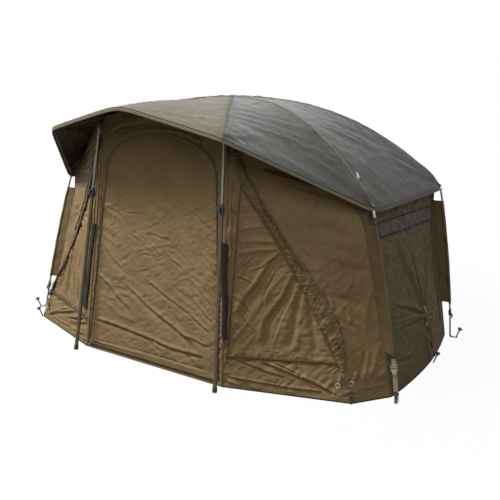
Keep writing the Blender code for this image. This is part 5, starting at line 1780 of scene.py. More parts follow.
@dataclass
class FrontWall(Wall):
    """The door wall: the arched door panel, its surround, the zip round the arch, the rain flap and the hem."""

    foot: float = 0.02
    half_width: float = 0.47
    lean: float = 0.088
    height: float = 1.233
    head_radius: float = 0.65
    corner_radius: float = 0.17
    door: Panel = field(init=False)
    surround: Panel = field(init=False)

    def arch(self, inset: float) -> tuple[Array, Array, Array]:
        """The door's outline drawn inwards by an inset.

        Args:
            inset: the distance inwards.

        Returns:
            Flat places up the right side to the middle of its corner, on over the head to the left corner's
            middle, and the foot from left to right.
        """
        lean = math.atan(self.lean)
        half = self.half_width - inset / math.cos(lean)
        head, corner = self.head_radius - inset, self.corner_radius - inset
        centre = self.height - self.head_radius
        reach = (half * math.cos(lean) - corner - centre * math.sin(lean)) / (head - corner)
        turn = math.asin(reach) - lean
        middle = np.array(((head - corner) * math.sin(turn), centre + (head - corner) * math.cos(turn)))
        heights = np.linspace(self.foot + inset, middle[1] + corner * math.sin(lean), 120)
        right = np.stack((half - self.lean * heights, heights), axis=1)
        angles = np.linspace(lean, math.pi / 2 - turn, 60)
        bend = middle + corner * np.stack((np.cos(angles), np.sin(angles)), axis=1)
        share = 24
        angles = np.linspace(turn, -turn, 90)[1:-1]
        arc = np.stack((head * np.sin(angles), centre + head * np.cos(angles)), axis=1)
        over = np.concatenate([bend[share:], arc, bend[share:][::-1] * FLIPPED])
        right = np.concatenate([right[:-1], bend[:share + 1]])
        bottom = np.stack((np.linspace(-right[0, 0], right[0, 0], 60), np.full(60, self.foot + inset)), axis=1)
        return right, over, bottom

    def outline(self, inset: float) -> Array:
        """Flat places up the right side of the arch, over it and down the left side."""
        right, over, _ = self.arch(inset)
        return np.concatenate([right[::3], over[::3], (right[::-1] * FLIPPED)[::3], right[:1] * FLIPPED])

    @staticmethod
    def curve(flat: Array) -> Curve:
        """A line of flat places as a curve on the wall."""
        return line_through(LINES.door_wall(flat[..., 0], flat[..., 1]))

    def door_folds(self) -> tuple[Relief, ...]:
        """The folds of the closed door: long slack diagonals from the left, creases at the right and a level
        one above the hem.

        Returns:
            The folds.
        """
        return (
            *folds(Shape.STEP, 0.2, 0.6, (6, 16, -440, 452, -330, 385, -234, 315, -140, 262)),
            *folds(Shape.STEP, 0.2, 0.5, (6.8, 17, -248, 427, -136, 378, -43, 322, 76, 272, 178, 231, 334, 162)),
            *folds(Shape.STEP, 0.25, 0.0, (4.2, 15, -82, 466, 22, 427, 110, 387, 204, 350, 300, 325),
                   (5, 13, 268, 416, 409, 310), (4.6, 13, 255, 509, 396, 397), (5, 12, 239, 341, 400, 256),
                   (4.2, 12, 193, 223, 406, 183), (3.6, 12, 300, 665, 388, 587), (2.6, 10, -92, 603, 10, 592),
                   (2.6, 10, -52, 717, 37, 701, 112, 698), (2.6, 12, -110, 1044, -49, 1014),
                   (2.2, 10, 16, 1024, 97, 1047), (3, 18, -410, 840, -340, 740), (3, 14, 240, 860, 360, 780),
                   (2.6, 12, 250, 980, 340, 930), (2.4, 10, -300, 930, -200, 900), (2.2, 10, -240, 800, -120, 810),
                   (2.6, 11, 100, 600, 200, 560), (2.4, 10, -200, 700, -100, 660), (3.4, 12, -60, 150, 100, 90)),
            *folds(Shape.STEP, 0.1, 0.0, (6, 15, -446, 176, -266, 170, -124, 158, -32, 150, 158, 126, 390, 128)),
            *folds(Shape.STEP, 0.3, 0.0, (3.6, 20, -400, 620, -300, 530, -200, 475)),
            *folds(Shape.RIDGE, 0.3, 0.0, (3.4, 18, -360, 300, -250, 240, -80, 215)),
            *folds(Shape.STEP, 0.05, 0.0, (-3, 8, -455, 50, 4, 58, 409, 56)),
            *folds(Shape.RIDGE, 0.4, 0.0, (1.8, 20, -100, 900, 20, 860, 150, 870)),
            Wrinkles(0.003, 0.16, 0.036, -28.0, 11), Wrinkles(0.0019, 0.06, 0.017, 20.0, 12),
            Wrinkles(0.0013, 0.035, 0.011, -10.0, 13))

    def build_panels(self) -> None:
        """Cuts the door and its surround, and finds where they lie once folded."""
        right, over, bottom = self.arch(0.0045)
        places = coons(self.curve(bottom), self.curve(over[::-1]), self.curve(right * FLIPPED), self.curve(right),
                       150, 196)
        side = right[::6]
        edges = (Gather(side, 0.0036, 0.026, 0.034, lean=-0.7, seed=21),
                 Gather(side * FLIPPED, 0.0018, 0.034, 0.028, lean=0.6, seed=22),
                 Gather(over[::5], 0.0016, 0.032, 0.026, seed=23))
        self.door = Panel("door_cloth", places, places[..., [0, 2]].copy(), -BACK, self.door_folds(), edges, 0.022)
        right, over, bottom = self.arch(-0.0045)
        head = LINES.notch_head
        seam = float(LINES.door_seam(head)) - WALL_GAP
        heights = np.linspace(0.0, head, 130)
        outer_right = np.stack((LINES.door_seam(heights) - WALL_GAP, heights), axis=1)
        xs = np.linspace(seam, -seam, 41)
        tops = np.array([head, *(LINES.front_head(float(x)) for x in xs[1:-1]), head])
        outer_foot = np.stack((np.linspace(-0.4865, 0.4865, 40), np.zeros(40)), axis=1)
        loops = [np.concatenate([self.curve(part)(np.linspace(0.0, 1.0, count, endpoint=False))
                                 for part, count in zip(parts, (160, 120, 160, 90))])
                 for parts in ((right, over, right[::-1] * FLIPPED, bottom),
                               (outer_right, np.stack((xs, tops), axis=1), outer_right[::-1] * FLIPPED, outer_foot))]
        places = lerp(loops[0][None], loops[1][None], evenly(26)[:, None])
        side = right[::8]
        edges = (Gather(side, 0.0056, 0.019, 0.03, lean=0.4, seed=31),
                 Gather(side * FLIPPED, 0.0028, 0.026, 0.026, lean=-0.4, seed=32),
                 Gather(over[::5], 0.0026, 0.028, 0.04, seed=33),
                 *folds(Shape.RIDGE, 0.25, 0.0, (3.5, 22, -320, 1300, -50, 1315, 220, 1300)),
                 *folds(Shape.STEP, 0.25, 0.0, (3, 14, -400, 1200, -300, 1262, -120, 1288)))
        self.surround = Panel("door_surround_cloth", places, places[..., [0, 2]].copy(), -BACK, (), edges, 0.0, True)
        self.skin = Skin((self.door.grid, self.surround.grid), 1, True)

    def build(self) -> None:
        """Sews both panels and everything on them."""
        self.build_panels()
        trims = []
        out = LINES.door_out
        for body, inset, name in (("door", 0.0018, "door_zip_half"), (ROOT, -0.0018, "surround_zip_half")):
            line = self.outline(inset)
            path = LINES.door_wall(line[:, 0], line[:, 1])
            trims.append(sweep(name, path + out * 0.001, out, tape_outline(0.0034, 0.0028), Make(ZIP_COIL, body=body)))
            trims.append(self.lay(f"{name}_tape", line, self.outline(inset * 3.2), 0.0011, ZIP_CLOTH, (4, 260), 0.0009,
                                  body=body, slot="fittings"))
        door = self.door.build(Make(WALL_CLOTH, self.slot, "door", inner=(SHADED_LINING,)))
        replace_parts(door, "door_panel")
        surround = self.surround.build(Make(WALL_CLOTH, self.slot, inner=(SHADED_LINING,)))
        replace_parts(surround, "door_surround")
        hem = self.hem("door", (-0.4705, 0.4705), WALL_CLOTH, "door", 0.014, 0.037)
        self.door.declare(door, "hung", ["door_surround_cloth"], trims[:2] + hem)
        self.surround.declare(surround, "hung", ["frame_rod_brim_right", "frame_rod_brim_left"], trims[2:])
        self.rain_flap()
        self.slider()

    def rain_flap(self) -> None:
        """The narrow flap that covers the zip's head, stitched to the surround."""
        outer = mm(-425, 985, -414, 1060, -396, 1109, -354, 1165, -300, 1203, -186, 1244, -86, 1259, 60, 1262,
                   180, 1246, 275, 1212)
        inner = mm(-405, 985, -392, 1052, -374, 1098, -336, 1148, -286, 1184, -180, 1222, -84, 1236.5, 58, 1239.5,
                   174, 1225, 262, 1194)
        self.lay("zip_rain_flap", outer, inner, 0.0034, WALL_CLOTH, (7, 110), 0.0012, 0.0012,
                 (Wrinkles(0.0012, 0.05, 0.03, 10.0, 41),))
        self.lay("rain_flap_stitch", outer, outer * 0.97 + inner * 0.03, 0.003, DARK_THREAD, (3, 110), 0.0007)

    def slider(self) -> None:
        """The zip's slider at the head of the arch, with its cord pull."""
        middle, out = np.mean(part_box("door_zip_slider"), axis=0), LINES.door_out
        rise = -unit(np.cross(OUT, out))
        dark, bright = Make(BLACK_PLASTIC, body="door_slider"), Make(BRIGHT_FITTING, body="door_slider")
        body = block("door_slider_body", middle, (OUT, rise, out), SLIDER_SIZE, dark, 0.001)
        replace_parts(body, "door_zip_slider")
        bail = [middle + out * (0.0022 + 0.0028 * math.sin(turn)) + OUT * (0.0042 * math.cos(turn))
                for turn in np.linspace(0.0, math.pi, 10)]
        sweep("door_slider_bail", np.array(bail), rise, round_outline(0.0008, 8), bright)
        pull = [middle + out * (0.0046 - 0.0016 * share) - rise * (0.003 + 0.034 * share)
                + OUT * (0.003 * math.sin(3.0 * share)) for share in evenly(14)]
        sweep("door_slider_pull", np.array(pull), out, tape_outline(0.005, 0.0016),
              Make(BROWN_WEBBING, body="door_slider"))


@dataclass
class Wing(Wall):
    """A wing wall with its three-cornered window: flap, zips, gathered casing, foot seam, hem and tabs."""

    front: FrontWall | None = None
    wing: Panel = field(init=False)
    flap: Panel = field(init=False)

    def flap_folds(self) -> tuple[Relief, ...]:
        """A fan of slack cloth that falls from the seam's middle, and level folds across the top.

        Returns:
            The folds.
        """
        return (
            *folds(Shape.RIDGE, 0.12, 0.0, (5, 14, 505, 676, 600, 694, 700, 706),
                   (4.6, 13, 510, 735, 600, 742, 677, 732), (4, 12, 510, 794, 611, 815), (3.2, 11, 510, 850, 590, 866),
                   (2.6, 10, 510, 905, 560, 918)),
            *folds(Shape.STEP, 0.12, 0.8, (-7, 17, 708, 691, 658, 638, 616, 532, 571, 464, 530, 360),
                   (-6.4, 18, 776, 602, 736, 468, 667, 350, 672, 225)),
            *folds(Shape.STEP, 0.12, 0.7, (6, 18, 817, 531, 812, 385, 813, 214),
                   (5.6, 18, 850, 489, 888, 366, 941, 217)),
            *folds(Shape.RIDGE, 0.2, 1.0, (4.6, 22, 745, 640, 700, 520, 620, 410, 580, 260)),
            *folds(Shape.RIDGE, 0.2, 0.8, (5, 22, 800, 560, 775, 420, 745, 240),
                   (4.6, 20, 838, 500, 850, 370, 875, 220)),
            *folds(Shape.RIDGE, 0.2, 0.5, (3.6, 14, 902, 410, 950, 300, 990, 210)),
            *folds(Shape.STEP, 0.2, 0.0, (3, 9, 561, 584, 624, 611, 657, 648), (3.2, 10, 522, 563, 598, 531),
                   (3, 9, 528, 598, 593, 671), (3, 12, 515, 470, 600, 385), (-3.2, 12, 515, 330, 585, 245),
                   (2.8, 10, 520, 410, 620, 300), (3, 10, 700, 600, 660, 500, 650, 400),
                   (3, 10, 790, 520, 740, 360, 710, 220), (3, 10, 870, 440, 920, 330, 960, 240)),
            Wrinkles(0.0034, 0.13, 0.03, 60.0, 51 + self.side.value), Wrinkles(0.0024, 0.045, 0.014, 10.0, 53))

    def wing_folds(self) -> tuple[Relief, ...]:
        """Folds in the band under the window that draw to the peg, and in the main triangle.

        Returns:
            The folds.
        """
        return (
            *folds(Shape.STEP, 0.15, 0.0, (4, 11, 545, 150, 674, 113, 800, 86),
                   (4.2, 12, 1115, 230, 1118, 130, 1120, 50)),
            *folds(Shape.STEP, 0.12, 0.0, (5.6, 11, 659, 156, 761, 128, 932, 74, 1046, 30),
                   (3.4, 9, 729, 157, 830, 122, 1031, 43)),
            *folds(Shape.STEP, 0.1, 0.0, (3.8, 10, 508, 57, 641, 48, 840, 38, 984, 37), (2.2, 8, 500, 29, 694, 14)),
            *folds(Shape.RIDGE, 0.15, 0.0, (3.6, 12, 1000, 160, 1045, 100, 1095, 45),
                   (3.8, 12, 1160, 250, 1150, 140, 1135, 50)),
            *folds(Shape.STEP, 0.2, 0.4, (-4.6, 20, 560, 1093, 709, 1045, 924, 963)),
            *folds(Shape.STEP, 0.2, 0.0, (3.8, 18, 607, 1000, 716, 970, 931, 914)),
            *folds(Shape.RIDGE, 0.25, 0.0, (5.2, 20, 1017, 581, 1000, 530, 971, 469)),
            *folds(Shape.RIDGE, 0.3, 0.0, (3.2, 22, 700, 860, 800, 830, 930, 835),
                   (4, 16, 1100, 550, 1085, 420, 1100, 280)),
            *folds(Shape.STEP, 0.3, 0.0, (4, 20, 1060, 800, 1020, 660, 1030, 500),
                   (-3.6, 14, 1110, 720, 1120, 550, 1150, 350), (3, 14, 800, 920, 900, 900, 1000, 860)),
            *folds(Shape.STEP, 0.25, 0.0, (3.4, 12, 840, 723, 870, 735, 902, 739), (3.4, 12, 944, 662, 972, 604),
                   (4, 14, 902, 517, 952, 413), (3, 11, 790, 700, 840, 660), (3.4, 12, 1000, 440, 1030, 340)),
            Wrinkles(0.0056, 0.18, 0.034, -20.0, 61 + self.side.value), Wrinkles(0.0034, 0.07, 0.016, 50.0, 63))

    def outer_loop(self) -> tuple[list[tuple[Curve, int]], list[tuple[Curve, int]]]:
        """The wing's inner and outer edges in matching runs: zip, foot, seam.

        Returns:
            For each edge, its curves and how many places each takes.
        """
        start, head = (LINES.door_wall(float(LINES.door_seam(height)) + WALL_GAP, height)
                       for height in (0.0, LINES.notch_head))
        pegged = LINES.place(*LINES.corner_peg, 0.0)
        seam_foot, corner_top = (LINES.corner_seam(Corner.FRONT, height) - OUT * WALL_GAP
                                 for height in (0.0, SEAM_TOP))
        eave = LINES.rib("front", EAVE - 0.025)
        rise = [lerp(pegged, seam_foot, share) for share in (0.5, 1.0)]
        rise += [lerp(seam_foot, corner_top, share) for share in evenly(7)[1:]]
        top = [LINES.under(lerp(eave, head, step / 7.0)) for step in range(1, 7)]
        far = [pegged, *rise, *top, head]
        runs = (128, 100, 200)
        outer = [line_through([head, start]), line_through([start, pegged]), line_through(far, evenly(len(far)))]
        inner = [LINES.window_zip, line_through([LINES.window_zip(1.0), LINES.window_seam(1.0)]),
                 lambda shares: LINES.window_seam(1.0 - shares)]
        return list(zip(inner, runs)), list(zip(outer, runs))

    def build_panels(self) -> None:
        """Cuts the wing and its window flap, and finds where they lie once folded."""
        loops = [np.concatenate([curve(np.linspace(0.0, 1.0, count, endpoint=False)) for curve, count in runs])
                 for runs in self.outer_loop()]
        places = lerp(loops[0][None], loops[1][None], evenly(60)[:, None])
        seam = LINES.window_seam(evenly(24))[:, [0, 2]]
        edges = (Gather(seam, 0.0032, 0.026, 0.034, lean=0.5, seed=71 + self.side.value),
                 Gather(mm(508, 160, 727, 157, 1036, 172), 0.0028, 0.024, 0.018, seed=72, both=False))
        self.wing = Panel(f"wing_cloth_{self.side.label}", places, places[..., [0, 2]].copy(), -BACK,
                          self.wing_folds(), edges, 0.028, True)
        shares = np.linspace(0.015, 1.0 - 0.003 / 0.845, 168)
        left, right = LINES.window_zip(shares), LINES.window_seam(shares)
        step = unit(right - left) * 0.0014
        places = lerp((left + step)[:, None], (right - step)[:, None], evenly(116)[None])
        edges = (Gather(seam, 0.0038, 0.024, 0.036, lean=-0.4, seed=75 + self.side.value),
                 Gather(mm(508, 165, 727, 162, 1020, 176), 0.0036, 0.022, 0.026, seed=76),
                 Gather(mm(506, 1020, 506, 160), 0.0018, 0.03, 0.018, seed=77))
        self.flap = Panel(f"window_cloth_{self.side.label}", places, places[..., [0, 2]].copy(), -BACK,
                          self.flap_folds(), edges, 0.022)
        self.skin = Skin((self.wing.grid, self.flap.grid, (mirrored(self.front.surround.raised, self.side), True)),
                         1, True)

    def build(self) -> None:
        """Sews the wing, its flap and everything on them."""
        self.suffix = f"_{self.side.label}"
        self.build_panels()
        wing = self.wing.build(Make(WALL_CLOTH, self.slot, ROOT, self.side, (SHADED_LINING,)))
        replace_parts(wing, "wing_wall" + self.suffix)
        flap = self.flap.build(Make(WALL_CLOTH, self.slot, "window" + self.suffix, self.side, (SHADED_LINING,)))
        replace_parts(flap, "window_flap" + self.suffix)
        self.wing.declare(wing, "hung", ["frame_rod_front" + self.suffix, "frame_rod_brim" + self.suffix])
        self.flap.declare(flap, "hung", [wing.name])
        self.zips()
        self.casing()
        self.pads()
        self.hem("wing", (0.489, 1.115, 1.238), WALL_CLOTH)
        self.tabs()
        self.slider()

    def zips(self) -> None:
        """The upright zip between the flap and the wall, the foot zip, and the slanting one beside the casing."""
        line = LINES.window_zip(np.linspace(0.02, 0.995, 90))
        out = forward(unit(np.cross(line[0] - line[-1], LINES.window_zip(0.5) - LINES.door_wall(0.475, 0.5))))
        for name, offset, body in (("window_zip_inner", -0.0014, ROOT),
                                   ("window_zip_outer", 0.002, "window" + self.suffix)):
            sweep(name + self.suffix, line + OUT * offset + out * 0.0012, out, tape_outline(0.0028, 0.0026),
                  Make(ZIP_CLOTH, body=body, side=self.side))
        self.lay("window_zip_tape", mm(490.5, 1020, 490.5, 165), mm(502, 1020, 502, 165), 0.0014, WALL_CLOTH, (4, 90),
                 slot="fittings")
        inner = LINES.window_seam(1.0)
        low = np.array(((0.491, 0.153), (float(inner[0]) + 0.012, float(inner[2]) - 0.007)))
        self.lay("window_foot_zip", low, low + (0.0, 0.0155), 0.0058, ZIP_CLOTH, (4, 110), 0.0016, 0.0008,
                 slot="fittings")
        self.seam("window_foot_stitch", low - (0.0, 0.009), 0.0014, DARK_THREAD)
        second = mm(482, 1127, 503, 1075, 547, 1000, 588, 924, 633, 849, 690, 760, 745, 672, 800, 596)
        self.lay("slanting_zip", second + (0.004, 0.003), second + (0.009, 0.007), 0.0158, ZIP_CLOTH, (4, 40), 0.0062,
                 0.001, slot="fittings")

    def casing(self) -> None:
        """The gathered casing over the slanting seam, ruched on its drawcord, and the zip along its near edge."""
        left = mm(441, 1195, 449, 1149, 480, 1063, 536, 985, 592, 887, 637, 811, 700, 706, 760, 621, 812, 559,
                  857, 498, 902, 433, 949, 358, 987, 277, 1032, 198, 1044, 152)
        right = mm(474, 1195, 495, 1149, 561, 1022, 628, 906, 682, 812, 735, 737, 795, 652, 813, 641, 866, 565,
                   926, 474, 972, 412, 1009, 355, 1040, 270, 1059, 196, 1073, 138)
        seam = LINES.window_seam(evenly(60))[:, [0, 2]]
        edge = line_through(left)(evenly(330))
        cover = np.interp(-edge[:, 1], -seam[:, 1], seam[:, 0] - 0.012)
        inside = (edge[:, 1] < 1.0) & (edge[:, 1] > 0.17)
        edge[:, 0] = np.where(inside, np.minimum(edge[:, 0], cover), edge[:, 0])
        other = lerp(edge, line_through(right)(evenly(330)), 0.8)
        middle = ((edge + other) / 2.0)[::14]
        relief = (Gather(middle, 0.0036, 0.017, 0.055, lean=0.9, seed=81 + self.side.value, still=0.0),
                  Gather(middle, 0.0024, 0.012, 0.045, lean=-0.5, seed=83, still=0.0),
                  Wrinkles(0.0014, 0.05, 0.01, 30.0, 84))
        # Laid in the casing cloth, whose darker colour paints the shade in the gathers.
        self.lay("seam_casing", edge, other, 0.0056, SHADED_CASING_CLOTH, (18, 330), 0.0014, 0.005, relief)
        dark = self.side is Side.LEFT
        inner = edge if dark else edge[edge[:, 1] < 1.02]
        self.lay("seam_zip", inner - (0.0085, 0.004), inner + (0.0035, 0.002), 0.013 if dark else 0.004,
                 ZIP_COIL if dark else ZIP_CLOTH, (5, 44), 0.005, 0.0008, slot="fittings")
        self.seam("casing_stitch_upper", other - (0.003, 0.0), 0.0066, DARK_THREAD)
        self.seam("casing_stitch_lower", edge + (0.003, 0.0), 0.0066, DARK_THREAD)

    def pads(self) -> None:
        """A black strip beside the door, the cover of the wall's seam and the cloth edge behind the pole."""
        near, far = (mm(439, 730, 477, 247), mm(470, 730, 503, 247)) if self.side is Side.RIGHT else (
            mm(441, 720, 509, 210), mm(488, 720, 562, 210))
        self.lay("door_side_strap", near, far, 0.0095, DARK_CLOTH, (8, 70), 0.004, 0.0022,
                 (Wrinkles(0.001, 0.05, 0.03, 90.0, 44),), slot="fittings")
        heights = np.linspace(0.002, 1.18, 60)
        seam = np.stack((LINES.door_seam(heights), heights), axis=1)
        self.lay("door_seam_cover", seam - (0.008, 0.0), seam + (0.008, 0.0), 0.0032, WALL_CLOTH, (6, 160), 0.0014,
                 0.0014, (Wrinkles(0.001, 0.05, 0.014, 90.0, 46),))
        edge = mm(457, 1043, 463, 884, 473, 750, 480, 654)
        self.lay("pole_edge_fold", edge - (0.004, 0.0), edge + (0.01, 0.0), 0.0052, WALL_CLOTH, (6, 90), 0.003,
                 0.0024, (Wrinkles(0.0014, 0.04, 0.012, 80.0, 45),))

    def tabs(self) -> None:
        """Webbing tabs with rings at the pegged corner."""
        for index, (x, z) in enumerate(mm(1049, 99, 1098, 104)):
            drop = np.linspace(0.036, -0.006, 14)
            tape = self.skin.at(np.stack((np.full(14, x), z + drop), axis=1)) - BACK * 0.007
            spot = tape[-1] + UP * 0.006 - BACK * 0.008
            ring = np.array([spot + OUT * (0.0115 * math.cos(turn)) + UP * (0.0115 * math.sin(turn) - 0.014)
                             for turn in round_turns(24)])
            sweep(f"corner_ring_{index}{self.suffix}", ring, -BACK, round_outline(0.002, 10),
                  Make(BRIGHT_FITTING, side=self.side), True)
            sweep(f"corner_tab_{index}{self.suffix}", tape, -BACK, tape_outline(0.02, 0.0022),
                  Make(BROWN_WEBBING, "webbing", side=self.side))

    def slider(self) -> None:
        """The upright zip's slider and its cord pull."""
        middle = np.mean(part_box("window_zip_slider_right"), axis=0)
        along = unit(LINES.window_zip(0.0) - LINES.window_zip(1.0))
        across = square_to(OUT, along)
        out = forward(np.cross(across, along))
        name = "window_slider" + self.suffix
        body = block("window_slider_body" + self.suffix, middle, (along, across, out), SLIDER_SIZE,
                     Make(BLACK_PLASTIC, body=name, side=self.side), 0.001)
        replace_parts(body, "window_zip_slider" + self.suffix)
        pull = [middle + out * (0.0036 + 0.009 * math.sin(1.5 * share)) - along * (0.002 + 0.032 * share)
                for share in evenly(14)]
        sweep("window_slider_pull" + self.suffix, np.array(pull), out, tape_outline(0.0048, 0.0016),
              Make(BROWN_WEBBING, body=name, side=self.side))


@dataclass
class SideWall(Wall):
    """A side wall with its covered vent, its upright zip, the reinforced pull and the hem."""

    slot: str = "side_cloth"
    towards: Array = field(default_factory=lambda: OUT)

    def folds(self) -> tuple[Relief, ...]:
        """Folds that all draw to the storm guy's pull, and slighter ones at the front.

        Returns:
            The folds.
        """
        drawn = [(*row, *GUY_PULL) for row in (
            (5, 14, -333, 288, -120, 268), (5, 14, -261, 397, -80, 335), (-5.4, 14, -127, 705, -20, 480),
            (4.6, 14, 178, 62, 140, 160), (-4.4, 14, 400, 400, 250, 320), (4.4, 15, 300, 660, 220, 460),
            (4, 10, -200, 205, -50, 225), (3.8, 10, -140, 130, -20, 190), (-3.8, 11, -20, 50, 30, 150),
            (-3.6, 10, -300, 330, -100, 300), (4, 12, 50, 620, 80, 440), (3.6, 11, 300, 220, 200, 240))]
        return (
            *folds(Shape.STEP, 0.12, 0.0, *drawn),
            *folds(Shape.RIDGE, 0.1, 0.0, (3.4, 12, -321, 316, -100, 292, *GUY_PULL)),
            *folds(Shape.RIDGE, 0.12, 0.0, (4.6, 13, -26, 551, 40, 400, *GUY_PULL),
                   (4, 14, 50, 30, 70, 140, *GUY_PULL)),
            *folds(Shape.STEP, 0.3, 0.0, (3.6, 18, -380, 620, -280, 600, -100, 640),
                   (3.8, 16, -400, 150, -200, 120, 0, 140)),
            Wrinkles(0.0038, 0.15, 0.035, 15.0, 91 + self.side.value), Wrinkles(0.0026, 0.05, 0.016, -30.0, 93))

    def build(self) -> None:
        """Cuts and sews the wall and everything on it."""
        self.suffix = f"_{self.side.label}"
        places = LINES.side_wall(evenly(150), evenly(128))
        panel = Panel("side_cloth" + self.suffix, places, places[..., [1, 2]].copy(), OUT, self.folds(), (), 0.03)
        item = panel.build(Make(SHADED_SIDE_CLOTH, self.slot, ROOT, self.side, (SHADED_LINING,)))
        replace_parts(item, "side_wall" + self.suffix)
        panel.declare(item, "hung", ["frame_rod_front" + self.suffix, "frame_rod_rear" + self.suffix])
        self.skin = Skin((panel.grid,), 0, False)
        upper = mm(-300, 811, 27, 806, 436, 790)
        lower = mm(-306, 745, 28, 738, 418, 725)
        self.lay("vent_strip", lower, upper, 0.0026, VENT_CLOTH, (14, 110), 0.0012, 0.0014,
                 (Wrinkles(0.003, 0.05, 0.016, 60.0, 95),))
        # The dark strip above the vent is a painted shadow under the cover's upper edge; the one below is its dark
        # lower seam.
        for name, line, width in (("vent_edge_upper", upper, 0.007), ("vent_edge_lower", lower, -0.006)):
            self.lay(name, line, line + (0.0, width), 0.0042, DARK_CLOTH, (4, 90), 0.0014, 0.0006)
        line = mm(416, 725, 395, 560, 380, 424, 385, 300, 400, 120)
        self.lay("side_zip", line, line + (0.008, 0.0), 0.003, ZIP_COIL, (4, 80), 0.0014, 0.0008, slot="fittings")
        self.lay("side_zip_cover", line + (0.009, 0.0), line + (0.034, 0.0), 0.003, SHADED_SIDE_CLOTH, (6, 80), 0.0012,
                 0.0014, (Wrinkles(0.0014, 0.06, 0.02, 90.0, 96),))
        spot = mm(*GUY_PULL)
        self.lay("guy_patch", spot + mm(-30, -26, -22, 32), spot + mm(30, -26, 22, 32), 0.0024, SHADED_SIDE_CLOTH, (10, 12),
                 0.0012, 0.0005)
        self.lay("guy_tab", spot + mm(-9, 4, -9, 46), spot + mm(9, 4, 9, 46), 0.0046, PALE_WEBBING, (6, 14), 0.0018,
                 0.0006, slot="webbing")
        self.hem("side", (-0.452, 0.5), SHADED_SIDE_CLOTH)


@dataclass
class EaveGusset:
    """The three-cornered piece that closes a corner between two walls, up under the end of a rib."""

    corner: Corner
    side: Side

    def build(self) -> None:
        """Cuts and sews the piece."""
        seam = LINES.corner_seam(self.corner, 0.775)
        tip = LINES.under(LINES.rib(self.corner.value, 0.965))
        if self.corner is Corner.FRONT:
            head = LINES.door_wall(float(LINES.door_seam(LINES.notch_head)), LINES.notch_head)
            near = LINES.under(lerp(LINES.rib("front", 0.91), head, 0.16))
            far = LINES.side_head(np.array([0.12]))[0]
        else:
            near = LINES.side_head(np.array([0.88]))[0]
            far = LINES.under(lerp(LINES.rib("rear", EAVE), LINES.rib("back", BACK_EAVE), 0.19))
        top = line_through([near, tip, far], (0.0, 0.5, 1.0), softness=0.03)(evenly(45))
        inward = unit((LINES.crown - seam) * LEVEL)
        places = lerp(seam[None, None], top[None], evenly(22)[:, None]) + inward * 0.003
        label = f"{self.corner.value}_{self.side.label}"
        panel = Panel(f"eave_gusset_{label}", places, places[..., [1, 2]].copy(), -inward,
                      (Wrinkles(0.0016, 0.06, 0.025, 80.0, 105),), (), 0.01)
        item = panel.build(Make(SHADED_SIDE_CLOTH, "side_cloth", ROOT, self.side, (SHADED_LINING,)))
        panel.declare(item, "hung", [f"frame_rod_{label}"])


@dataclass
class BackWall(Wall):
    """The one panel that closes the back from corner to corner, with its hem and a covered rear vent."""

    slot: str = "side_cloth"
    towards: Array = field(default_factory=lambda: BACK)
    hem_corner: tuple[float, float] = (0.55, 1.9976)

    def edges(self) -> tuple[Array, Array]:
        """Hem and head of the wall from the right corner seam round to the left one.

        Returns:
            The hem's places and the head's, in the same order.
        """
        start = BACK * 0.0035
        corner = LINES.place(*self.hem_corner, 0.0)
        rear, back = LINES.rib("rear", EAVE), LINES.rib("back", BACK_EAVE)
        shares = evenly(84)
        hem = lerp(LINES.corner_seam(Corner.REAR, 0.0) + start, corner, shares)
        head = lerp(LINES.corner_seam(Corner.REAR, SEAM_TOP) + start, LINES.under(lerp(rear, back, shares)),
                    smooth_step(shares, 0.0, 1.0 / 6.0))
        inner = evenly(110)[1:-1]
        hem_middle = lerp(corner, mirrored(corner, Side.LEFT), inner)
        head_middle = LINES.under(lerp(back, mirrored(back, Side.LEFT), inner))
        return (np.concatenate([hem, hem_middle, mirrored(hem, Side.LEFT)[::-1]]),
                np.concatenate([head, head_middle, mirrored(head, Side.LEFT)[::-1]]))

    def build(self) -> None:
        """Cuts and sews the wall."""
        hem, head = self.edges()
        places = lerp(hem[None], head[None], evenly(108)[:, None])
        along = arc_lengths(hem) - arc_lengths(hem)[-1] / 2.0
        relief = (Wrinkles(0.0032, 0.2, 0.06, 20.0, 101), Wrinkles(0.0016, 0.06, 0.022, -20.0, 102),
                  *folds(Shape.STEP, 0.25, 0.0, (5, 20, -950, 150, -550, 420), (5, 20, -500, 100, -620, 600),
                         (5, 20, 950, 120, 520, 380), (5, 20, 480, 80, 600, 620), (4, 20, -200, 200, 150, 270),
                         (3.5, 20, 300, 550, -50, 620), (3.5, 20, 50, 100, 350, 140),
                         (3.5, 20, -350, 720, 250, 760)))
        panel = Panel("back_cloth", places, paired(along[None, :], places[..., 2]), BACK, relief, (), 0.03)
        item = panel.build(Make(SHADED_SIDE_CLOTH, self.slot, inner=(SHADED_LINING,)))
        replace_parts(item, "back_wall")
        panel.declare(item, "hung", ["frame_rod_back_right", "frame_rod_back_left"])
        self.skin = WrappedSkin(panel)
        self.hem("back", (float(along[2]), float(along[-3])), SHADED_SIDE_CLOTH)
        upper, lower = mm(-420, 780, 420, 780), mm(-420, 700, 420, 700)
        self.lay("rear_vent", lower, upper, 0.003, VENT_CLOTH, (12, 110), 0.0012, 0.0014,
                 (Wrinkles(0.0026, 0.05, 0.02, 60.0, 97),))
        # The dark strip above the rear vent is a painted shadow under the cover's upper edge; the one below is its dark
        # lower seam.
        for name, line, width in (("rear_vent_edge_upper", upper, 0.006), ("rear_vent_edge_lower", lower, -0.006)):
            self.lay(name, line, line + (0.0, width), 0.0044, DARK_CLOTH, (4, 90), 0.0014, 0.0006)


